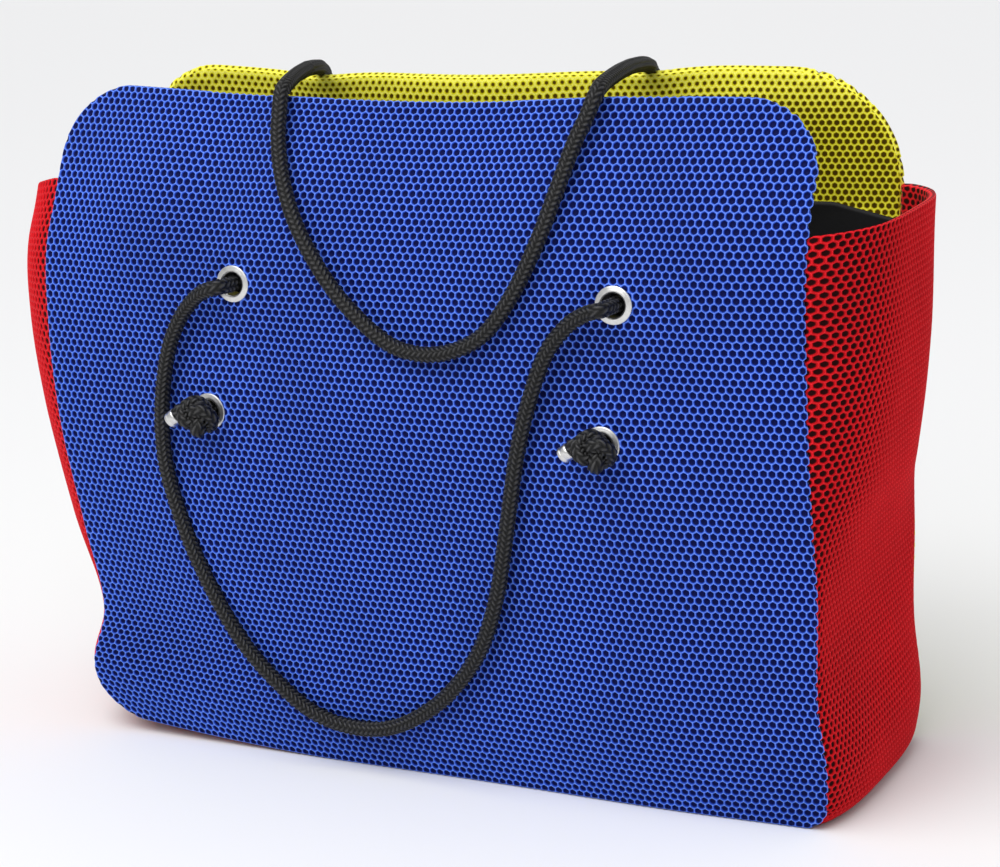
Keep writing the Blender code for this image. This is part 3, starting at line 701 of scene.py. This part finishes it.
def node(tree, kind, inputs, output, **settings):
    """Adds a node, whose inputs take sockets or plain values. Returns one of its outputs."""
    new = tree.nodes.new("ShaderNode" + kind)
    for setting, value in settings.items():
        setattr(new, setting, value)
    for key, value in inputs.items():
        if isinstance(value, bpy.types.NodeSocket):
            tree.links.new(value, new.inputs[key])
        else:
            new.inputs[key].default_value = value
    return new.outputs[output]


def noise(tree, scale, detail, stretch=(1, 1, 1)):
    """A noise texture over the object's own coordinates."""
    place = node(tree, "TexCoord", {}, "Object")
    mapped = node(tree, "Mapping", {"Vector": place, "Scale": stretch}, "Vector")
    return node(tree, "TexNoise", {"Vector": mapped, "Scale": scale, "Detail": detail}, "Fac")


def ramp(tree, value, stops):
    """A colour ramp with (position, colour) stops, where a single number is a grey."""
    new = tree.nodes.new("ShaderNodeValToRGB")
    while len(new.color_ramp.elements) < len(stops):
        new.color_ramp.elements.new(0.5)
    for element, (position, colour) in zip(new.color_ramp.elements, stops):
        element.position = position
        element.color = (*colour, 1) if isinstance(colour, tuple) else (colour, colour, colour, 1)
    tree.links.new(value, new.inputs["Fac"])
    return new.outputs["Color"]


def multiplied(tree, a, b):
    """Two colours multiplied."""
    return node(tree, "Mix", {0: 1.0, 6: a, 7: b}, 2, data_type="RGBA", blend_type="MULTIPLY")


def bump(tree, shader, height, strength, distance):
    inputs = {"Height": height, "Strength": strength, "Distance": distance}
    tree.links.new(node(tree, "Bump", inputs, "Normal"), shader.inputs["Normal"])


def cell_distance(tree):
    """How far out in its hexagonal cell a place lies, 0.5 on a wall, from the lattice attribute."""
    place = node(tree, "Attribute", {}, "Vector", attribute_name="lattice")

    def vector_math(operation, *values):
        output = "Value" if operation in ("DOT_PRODUCT", "LENGTH") else "Vector"
        return node(tree, "VectorMath", dict(enumerate(values)), output, operation=operation)

    def number_math(operation, a, b):
        return node(tree, "Math", {0: a, 1: b}, "Value", operation=operation)

    half = (0.5, math.sqrt(3) / 2, 1.0)
    away = []
    for offset in ((0.0, 0.0, 0.0), (half[0], half[1], 0.0)):
        moved = vector_math("ADD", place, offset)
        wrapped = vector_math("WRAP", moved, half, tuple(-side for side in half))
        one_side = vector_math("ABSOLUTE", wrapped)
        across = vector_math("DOT_PRODUCT", one_side, (1.0, 0.0, ROLL_CLOSING))
        slanted = vector_math("DOT_PRODUCT", one_side, (0.5, half[1], ROLL_CLOSING))
        flat_sided = number_math("MAXIMUM", across, slanted)
        away.append(number_math("ADD", flat_sided, vector_math("LENGTH", wrapped)))
    return number_math("MULTIPLY", number_math("MINIMUM", away[0], away[1]), 0.5)


def mesh_cloth(name, colours, hole_size):
    """Knitted spacer mesh: bright matte webs round dark holes, with the yarn's fine grain. The holes'
    darkness is partly painted shade, and the webs' crests carry a painted highlight.
    """
    mat, tree, shader = new_material(name, 0.62, 0.08)
    shader.inputs["Sheen Weight"].default_value = 0.03
    shader.inputs["Sheen Roughness"].default_value = 0.45
    hole, hole_edge_painted_shade, web, crest_painted_highlight = colours
    # Painted shade in and round the holes, and a painted highlight along the webs' crests
    shades = ramp(tree, cell_distance(tree), [
        (0.0, hole), (hole_size - 0.07, hole), (hole_size, hole_edge_painted_shade), (hole_size + 0.05, web),
        (0.46, web), (0.50, crest_painted_highlight),
    ])
    yarn = noise(tree, 1500.0, 3.0)
    shaded = multiplied(tree, shades, ramp(tree, yarn, [(0.25, 0.70), (0.75, 1.15)]))
    patch = ramp(tree, noise(tree, 16.0, 4.0), [(0.3, 0.90), (0.7, 1.06)])
    tree.links.new(multiplied(tree, shaded, patch), shader.inputs["Base Color"])
    bump(tree, shader, yarn, 0.35, 0.0003)
    return mat


def rope_cloth():
    """Black braid: each strand is a bundle of fine shiny filaments. Its colour carries painted shade where
    strands dive under and a painted highlight on the strands' tops.
    """
    mat, tree, shader = new_material("black_braid", 0.44, 0.25)
    # Painted shade in the braid's grooves, rising to a painted highlight on the strands' tops
    tone = ramp(tree, node(tree, "Attribute", {}, "Fac", attribute_name="strand"), [
        (0.0, 0.0008), (0.45, (0.0026, 0.0026, 0.0028)), (0.72, (0.0100, 0.0098, 0.0102)),
        (1.0, (0.0520, 0.0515, 0.0520)),
    ])
    fibre = noise(tree, 2600.0, 2.0)
    grain = ramp(tree, fibre, [(0.3, 0.55), (0.7, 1.35)])
    tree.links.new(multiplied(tree, tone, grain), shader.inputs["Base Color"])
    bump(tree, shader, fibre, 0.5, 0.0002)
    return mat


def lining_cloth():
    """Smooth black woven cloth."""
    mat, tree, shader = new_material("lining_weave", 0.60, 0.25)
    fleck = noise(tree, 900.0, 2.0)
    tone = ramp(tree, fleck, [(0.3, (0.0012, 0.0012, 0.0014)), (0.7, (0.0030, 0.0030, 0.0034))])
    tree.links.new(tone, shader.inputs["Base Color"])
    bump(tree, shader, fleck, 0.25, 0.0002)
    return mat


def satin_metal():
    """Satin nickel with fine handling marks."""
    mat, tree, shader = new_material("satin_nickel", 0.33)
    shader.inputs["Metallic"].default_value = 1.0
    marks = noise(tree, 420.0, 5.0, (1, 1, 3))
    tone = ramp(tree, marks, [(0.3, (0.58, 0.575, 0.56)), (0.7, (0.72, 0.715, 0.70))])
    tree.links.new(tone, shader.inputs["Base Color"])
    rough = node(tree, "MapRange", {"Value": marks, "To Min": 0.24, "To Max": 0.42}, "Result")
    tree.links.new(rough, shader.inputs["Roughness"])
    bump(tree, shader, marks, 0.08, 0.0002)
    return mat


# ---- rope, knots and metal


def smooth_line(points, spacing):
    """Points at an even spacing along a smooth curve through the given points."""
    knots = [np.array(point, float) for point in points]
    knots = [2 * knots[0] - knots[1]] + knots + [2 * knots[-1] - knots[-2]]
    dense = []
    for before, a, b, after in zip(knots, knots[1:], knots[2:], knots[3:]):
        t = np.linspace(0, 1, 25)[:-1, None]
        dense.append(cubic(t, a, b, (b - before) / 2, (after - a) / 2))
    dense = np.concatenate([*dense, knots[-2][None]])
    lengths = np.concatenate([[0], np.cumsum(np.linalg.norm(np.diff(dense, axis=0), axis=1))])
    at = np.linspace(0, lengths[-1], max(4, round(lengths[-1] / spacing)) + 1)
    return np.stack([np.interp(at, lengths, dense[:, k]) for k in range(3)], axis=-1), lengths[-1]


def carried_frames(line):
    """Two directions across a line at each point, turning as little as they can."""
    tangents = np.gradient(line, axis=0)
    tangents /= np.linalg.norm(tangents, axis=1, keepdims=True)
    start = np.cross(tangents[0], (0.3, 0.2, 0.9))
    across = [start / np.linalg.norm(start)]
    for tangent in tangents[1:]:
        moved = across[-1] - tangent * np.dot(across[-1], tangent)
        across.append(moved / np.linalg.norm(moved))
    across = np.array(across)
    return across, np.cross(tangents, across)


def braid(angle, along):
    """The braid's relief, 0 to 1, at places round and along the rope.

    Two sets of strands wind opposite ways, each over two strands of the other and under two.
    """
    a = STRANDS * angle / (2 * math.pi) + along / STRAND_ADVANCE
    b = STRANDS * angle / (2 * math.pi) - along / STRAND_ADVANCE
    first_on_top = (np.floor(a) + np.floor(b)) % 4 < 2
    side = np.abs(np.sin(math.pi * np.where(first_on_top, a, b)))
    run = np.where(first_on_top, (b + np.floor(a)) % 4, (a + np.floor(b)) % 4 - 2)
    return side**0.7 * (0.35 + 0.65 * np.sin(math.pi * np.clip(run, 0, 2) / 2) ** 0.6)


def braided_rope(name, points, material):
    """A round braided rope with closed ends. Returns it with its line and length."""
    line, length = smooth_line(points, ROPE_STEP)
    across, beside = carried_frames(line)
    angle = np.linspace(0, 2 * math.pi, ROPE_SIDES, endpoint=False)
    relief = braid(angle[None, :], np.linspace(0, length, len(line))[:, None])
    reach = ROPE_RADIUS - BRAID_RELIEF * (1 - relief - BRAID_SWELL)
    around = np.cos(angle)[None, :, None] * across[:, None] + np.sin(angle)[None, :, None] * beside[:, None]
    points = line[:, None] + around * reach[..., None]
    ids = np.arange(reach.size).reshape(reach.shape)
    after = np.roll(ids, -1, axis=1)
    faces = np.stack([ids[:-1], after[:-1], after[1:], ids[1:]], axis=-1).reshape(-1, 4).tolist()
    faces += [ids[0][::-1].tolist(), ids[-1].tolist()]
    obj = new_mesh(name, points, faces, material)
    strand = obj.data.attributes.new("strand", "FLOAT", "POINT")
    strand.data.foreach_set("value", relief.ravel().astype(np.float32))
    obj.data.shade_smooth()
    return obj, line, length


def eyelet_frame(side, x, height):
    """Matrix with its origin on a panel's outer face and +Z pointing out of the bag."""
    across, at = np.array([across_at(x, height)]), np.array([height])
    normal = normals_of(lambda a, h: panel_place(side, a, h), across, at)[0]
    normal = Vector(-normal if normal[1] * PANELS[side][2] < 0 else normal)
    return upright(Vector(panel_place(side, across, at)[0]), normal)


def upright(origin, axis):
    """Matrix with the given origin, and +Z along the axis."""
    turn = Vector((0, 0, 1)).rotation_difference(axis).to_matrix().to_4x4()
    return Matrix.Translation(origin) @ turn


def turned(name, profile, steps, material, frame):
    """A ring or sleeve turned about Z from a closed (radius, height) profile."""
    profile = np.array(profile)
    angle = np.linspace(0, 2 * math.pi, steps, endpoint=False)
    points = np.stack([
        np.outer(np.cos(angle), profile[:, 0]), np.outer(np.sin(angle), profile[:, 0]),
        np.broadcast_to(profile[:, 1], (steps, len(profile))),
    ], axis=-1)
    ids = np.arange(steps * len(profile)).reshape(steps, -1)
    after = np.roll(ids, -1, axis=0)
    faces = np.stack([ids, after, np.roll(after, -1, 1), np.roll(ids, -1, 1)], axis=-1).reshape(-1, 4)
    obj = face_outwards(new_mesh(name, points, faces.tolist(), material))
    obj.data.set_sharp_from_angle(angle=math.radians(50))
    obj.matrix_world = frame
    return obj


def arc(middle, radius, start, end, steps):
    """Points of an arc in a profile, angles in degrees from the radius direction."""
    angles = np.radians(np.linspace(start, end, steps))
    return [(middle[0] + radius * math.cos(a), middle[1] + radius * math.sin(a)) for a in angles]


def make_eyelet(name, frame, metal):
    """A pressed eyelet: a domed flange with a rolled inner lip and a barrel."""
    lip = STACK + WASHER + 3 * GAP
    barrel = EYELET_HOLE + EYELET_WALL
    profile = arc((EYELET_HOLE + 0.0011, 0.0006), 0.0011, 180, 70, 8)
    profile += [(EYELET_HOLE + 0.0022, 0.00148), (EYELET_FLANGE - 0.0012, 0.00125)]
    profile += arc((EYELET_FLANGE - 0.0007, 0.0006), 0.0006, 70, -40, 6)
    profile += [(EYELET_FLANGE - 0.0008, 0.0003), (barrel, 0.0004), (barrel, -lip)]
    profile += arc((EYELET_HOLE + 0.0012, -lip - 0.0001), 0.0007, 90, -90, 7)
    profile += [(EYELET_HOLE, -lip - 0.0006)]
    return turned(name, profile, 72, metal, frame)


def make_washer(name, frame, metal):
    inner, outer, bevel = EYELET_HOLE + EYELET_WALL + GAP, EYELET_FLANGE, 0.0002
    top = -STACK - GAP - 0.0001
    bottom = top - WASHER
    profile = [
        (inner, top), (outer - bevel, top), (outer, top - bevel), (outer, bottom + bevel),
        (outer - bevel, bottom), (inner, bottom),
    ]
    return turned(name, profile, 72, metal, frame)


def sleeve_frame(frame):
    """Where a rope end's sleeve sits, its Z along the rope and away from the knot."""
    return upright(frame @ Vector((0, 0, KNOT_STANDOFF)) + SLEEVE_OFFSET, SLEEVE_WAY)


def make_sleeve(name, frame, metal):
    """A crimped metal sleeve, with a groove round it and a nearly closed end."""
    half, radius, rim = SLEEVE_LENGTH / 2, SLEEVE_RADIUS, 0.0004
    wall, groove = radius - 0.0012, radius - 0.00025
    profile = [
        (wall, -half), (radius - rim, -half), (radius, -half + rim), (radius, 0.0002),
        (groove, 0.0006), (groove, 0.0010), (radius, 0.0014), (radius, half - rim),
        (radius - rim, half), (radius - 0.0010, half), (wall, half - 0.0005),
        (0.0003, half - 0.0006), (0.0003, -half),
    ]
    return turned(name, profile, 48, metal, sleeve_frame(frame))


def knot_points(frame):
    """An overhand knot's path: in from the eyelet, three crossings, out to the sleeve."""
    to_frame = frame.inverted().to_3x3()
    middle = Vector((0, 0, KNOT_STANDOFF - KNOT_CLOSER)) + to_frame @ Vector((0, 0, -KNOT_SINK))
    way = to_frame @ SLEEVE_WAY
    heading = math.atan2(way.y, way.x) + 0.5
    points = [Vector((0, 0, -0.0055)), Vector((0, 0, 0.0010))]
    for t in np.linspace(0.42, 2 * math.pi - 0.62, 15):
        radius, angle = KNOT_RING + KNOT_TUBE * math.cos(3 * t), 2 * t + heading
        flat = Vector((radius * math.cos(angle), radius * math.sin(angle), KNOT_FLAT * math.sin(3 * t)))
        points.append(middle + flat)
    sleeve = frame.inverted() @ (sleeve_frame(frame) @ Vector((0, 0, -0.0024)))
    points += [sleeve - way * 0.0045, sleeve]
    return [frame @ point for point in points]


def inside_route(into, out):
    """A rope end's way behind a panel: in at one eyelet, down, and out at the next."""
    way_in = [(0.0030, 0.0), (0.0070, 0.0), (0.0145, 0.0030), (0.0185, 0.0130)]  # depth, and drop
    middle = (into @ Vector((0, 0, -0.0190))).lerp(out @ Vector((0, 0, -0.0190)), 0.5)
    down = [into @ Vector((0, 0, -depth)) - Vector((0, 0, drop)) for depth, drop in way_in]
    up = [out @ Vector((0, 0, -depth)) + Vector((0, 0, drop)) for depth, drop in way_in]
    return [*down, middle, *up[::-1]]


# ---- building the pieces


def piece(obj, body, slot, *nodes):
    """Puts a finished piece on its body, in place of its CAD nodes. The slot is not used."""
    if body:
        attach(obj, body)
    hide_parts(*nodes)
    return obj


def build_camera():
    data = bpy.data.cameras.new("camera")
    data.lens = CAMERA_LENS
    data.sensor_width = 36.0
    camera = new_object("camera", data)
    heading, tilt, roll = (math.radians(x) for x in (CAMERA_HEADING, CAMERA_TILT, CAMERA_ROLL))
    ahead = Vector((
        -math.sin(heading) * math.cos(tilt), math.cos(heading) * math.cos(tilt), -math.sin(tilt),
    ))
    level = ahead.cross(Vector((0, 0, 1))).normalized()
    above = level.cross(ahead)
    right = level * math.cos(roll) + above * math.sin(roll)
    up = -level * math.sin(roll) + above * math.cos(roll)
    turn = Matrix((right, up, -ahead)).transposed().to_4x4()
    camera.matrix_world = Matrix.Translation(CAMERA_PLACE) @ turn
    bpy.context.scene.camera = camera


def build_cord(name, route, rope, body, nodes, blended=None):
    """A rope on one body, with its transform baked when blended is given; the blend's bodies, start and end
    are not used.
    """
    obj, line, length = braided_rope(name, route, rope)
    piece(obj, body, "black_rope", *nodes)
    if blended:
        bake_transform(obj)


def from_eyelet(frame):
    """The first two points of a rope that leaves an eyelet outwards."""
    return [frame @ Vector((0, 0, -0.0030)), frame @ Vector((0, 0, 0.0050))]


def build_ropes(rope, metal):
    frames = {
        (side, name): eyelet_frame(side, x, z) for side in ("front", "back") for name, x, z in EYELETS
    }

    # The front handle's free loop, from eyelet to eyelet
    left, right = frames["front", "upper_left"], frames["front", "upper_right"]
    route = from_eyelet(left) + FRONT_ROUTE + from_eyelet(right)[::-1]
    blended = (ROOT, FRONT, (0.02, -0.087, 0.2695), (0.02, -0.096, 0.2620))
    build_cord("front_handle_rope", route, rope, None, ["front_handle"], blended)

    # The rear handle: each side rises behind the bag and crosses the mouth, then the drape
    for hand in ("left", "right"):
        bridge = REAR_BRIDGE_ROUTES[hand]
        route = from_eyelet(frames["back", f"upper_{hand}"]) + REAR_RISER_ROUTES[hand] + bridge[:3]
        hinge = Vector(bridge[0])
        behind, beyond = hinge + Vector((-0.002, 0.010, -0.006)), hinge + Vector((0.002, -0.010, 0.002))
        nodes = [f"rear_handle_riser_{hand}"]
        build_cord(f"rear_handle_rise_{hand}", route, rope, None, nodes, (ROOT, BRIDGES, behind, beyond))
    route = REAR_BRIDGE_ROUTES["left"][2:] + REAR_DRAPE_ROUTE + REAR_BRIDGE_ROUTES["right"][:1:-1]
    nodes = ["rear_handle_drape", "rear_handle_bridge_left", "rear_handle_bridge_right"]
    blended = (BRIDGES, DRAPE, (0.024, -0.050, 0.378), (0.024, -0.066, 0.360))
    build_cord("rear_handle_loop", route, rope, None, nodes, blended)

    # Rope ends behind the panels, their knots and sleeves
    for side in ("front", "back"):
        for hand in ("left", "right"):
            frame = frames[side, f"lower_{hand}"]
            route = inside_route(frames[side, f"upper_{hand}"], frame)
            build_cord(f"{side}_{hand}_rope_inside", route, rope, ROOT, [f"{side}_{hand}_rope_end"])
            knot = braided_rope(f"{side}_{hand}_overhand_knot", knot_points(frame), rope)[0]
            piece(knot, ROOT, "black_rope", f"{side}_{hand}_knot")
            sleeve = make_sleeve(f"{side}_{hand}_sleeve", frame, metal)
            piece(sleeve, ROOT, "nickel", f"{side}_{hand}_ferrule")
        for name, _, _ in EYELETS:
            ring = make_eyelet(f"{side}_{name}_ring", frames[side, name], metal)
            piece(ring, ROOT, "nickel", f"{side}_{name}_eyelet")
            washer = make_washer(f"{side}_{name}_backing", frames[side, name], metal)
            piece(washer, ROOT, "nickel", f"{side}_{name}_washer")


def eyelet_places(side):
    """Where the eyelets lie on a panel's flat cut."""
    places = []
    for _, x, z in EYELETS:
        across = float(across_at(x, z))
        if side == "back":
            across += (1 / BACK_NARROWING - 1) * max(across - 0.5, 0.0)
        places.append((across * PANEL_WIDTH, z))
    return places


def build_mesh_parts():
    """The two panels and the band of spacer mesh. Returns the band's length."""
    looks = {"front": ("blue", BLUES_WITH_PAINTED_LIGHT), "back": ("yellow", YELLOWS_WITH_PAINTED_LIGHT)}
    for side, (colour, shades) in looks.items():
        obj = honeycomb_sheet(
            f"{side}_mesh", lambda flat, depth: panel_points(side, flat, depth),
            (PANEL_WIDTH, HEIGHT, BASE_CORNERS, TOP_CORNERS[side]), PITCHES[side], eyelet_places(side),
            lambda v: v > LINING_TOP, mesh_cloth(f"{colour}_spacer", shades, HOLE_SIZES[colour]),
            TOP_PAINTED_LIGHT_RUNS[side],
        )
        piece(obj, ROOT, f"{colour}_mesh", f"{side}_panel")
    shares, metres = band_ruler()
    run = float(metres[-1])

    def place(flat, depth):
        return band_points(np.interp(flat[..., 1], metres, shares), flat[..., 0] / BAND_WIDTH, depth)

    obj = honeycomb_sheet(
        "side_and_base_mesh", place, (BAND_WIDTH, run, BAND_CORNERS, BAND_CORNERS), PITCHES["band"], [],
        lambda v: (v < BAND_INNER_RUN) | (v > run - BAND_INNER_RUN),
        mesh_cloth("red_spacer", REDS_WITH_PAINTED_LIGHT, HOLE_SIZES["red"]),
    )
    piece(obj, ROOT, "red_mesh", "side_and_base_band")
    return run


def wrinkle(u, v, seed):
    """Soft folds of a loose lining, from 0 at the mesh to 1 away from it."""
    total = 0.0
    for k, (turn, scale) in enumerate(FOLDS):
        way = u * math.cos(turn + seed) + v * math.sin(turn + seed)
        side = -u * math.sin(turn + seed) + v * math.cos(turn + seed)
        total = total + np.sin(way * scale * 2 + 1.7 * np.sin(side * scale * 0.6 + k) + seed * 3 + k)
    return (total / 4 + 1) / 2


def near_edges(a, b, sharp_a, sharp_b):
    """1 inside a unit square, falling to 0 at its edges, where the folds are sewn flat."""
    return np.clip(np.minimum(np.minimum(a, 1 - a) * sharp_a, np.minimum(b, 1 - b) * sharp_b), 0, 1)


def lining_sheet(name, place, keep, columns, rows, material, node_name):
    """A thin cloth with soft folds, thickened both ways, open where keep is False."""
    a, b = np.meshgrid(np.linspace(0, 1, columns), np.linspace(0, 1, rows), indexing="ij")
    a, b = a.ravel(), b.ravel()
    ids = np.arange(columns * rows).reshape(columns, rows)
    faces = np.stack([ids[:-1, :-1], ids[1:, :-1], ids[1:, 1:], ids[:-1, 1:]], axis=-1).reshape(-1, 4)
    faces = faces[keep(a[faces].mean(axis=1), b[faces].mean(axis=1))]
    obj = new_mesh(name, place(a, b), faces.tolist(), material)
    obj.data.shade_smooth()
    solid = obj.modifiers.new("cloth", "SOLIDIFY")
    solid.thickness = LINING * 0.5
    solid.offset = 0.0
    return piece(obj, ROOT, "lining_cloth", node_name)


def build_lining():
    cloth = lining_cloth()
    low = LINING_DEPTH + GAP
    width, tall = PANEL_WIDTH - 2 * LINING_INSET, LINING_TOP - low

    def flat_place(a, b):
        top = tall + LINING_RISE * np.clip((1 - a) / LINING_SLOPE, 0, 1)
        return np.stack([LINING_INSET + a * width, low + b * top], axis=-1)

    for seed, side in enumerate(("front", "back")):

        def from_eyelets(flat):
            return np.min([np.hypot(*(flat - eyelet).T) for eyelet in eyelet_places(side)], axis=0)

        def place(a, b):
            flat = flat_place(a, b)
            loose = near_edges(a, b, 12, 10) * np.clip((from_eyelets(flat) - LINING_HELD) / 0.03, 0, 1)
            fold = FOLD_DEPTH * wrinkle(*flat.T, seed) * loose
            return panel_points(side, flat, LINING_DEPTH + FOLD_LIFT + fold)

        obj = lining_sheet(
            f"{side}_lining_cloth", place, lambda a, b: from_eyelets(flat_place(a, b)) > LINING_HOLE,
            180, 120, cloth, f"{side}_lining",
        )
    shares, metres = band_ruler()

    def around(a, b):
        share = LINING_START + LINING_SPAN * b
        across = LINING_TRIM + a * (1 - 2 * LINING_TRIM)
        fold = wrinkle(across * BAND_WIDTH, np.interp(share, shares, metres), 2)
        fold = FOLD_DEPTH * fold * near_edges(a, b, 8, 30)
        return band_points(share, across, BAND_LINING_DEPTH + FOLD_LIFT + fold)

    obj = lining_sheet(
        "side_and_base_lining_cloth", around, lambda a, b: b >= 0, 60, 300, cloth, "side_and_base_lining",
    )


def build_studio():
    floor_data = bpy.data.meshes.new("floor")
    bm = bmesh.new()
    bmesh.ops.create_circle(bm, cap_ends=True, segments=64, radius=9.0)
    bm.to_mesh(floor_data)
    bm.free()
    mat, _, shader = new_material("pale_floor", 0.85)
    shader.inputs["Base Color"].default_value = (0.85, 0.85, 0.855, 1)
    floor_data.materials.append(mat)
    new_object("floor", floor_data)
    world = bpy.data.worlds.new("studio")
    world.use_nodes = True
    sky = world.node_tree.nodes["Background"].inputs
    sky["Color"].default_value = (0.975, 0.98, 0.99, 1)
    sky["Strength"].default_value = SKY
    bpy.context.scene.world = world
    bpy.context.scene.view_settings.view_transform = "Standard"
    data = bpy.data.lights.new("key", "SUN")
    data.energy = SUN
    data.angle = math.radians(SUN_SPREAD)
    new_object("key", data).rotation_euler = SUN_FROM.to_track_quat("Z", "Y").to_euler()
    data = bpy.data.lights.new("front_box", "AREA")
    data.size = FRONT_BOX_SIZE
    data.energy = FRONT_BOX
    light = new_object("front_box", data)
    light.location = FRONT_BOX_PLACE
    light.rotation_euler = (FRONT_BOX_AIM - FRONT_BOX_PLACE).to_track_quat("-Z", "Y").to_euler()


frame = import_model()
build_camera()
build_ropes(rope_cloth(), satin_metal())
band_run = build_mesh_parts()
build_lining()
build_studio()
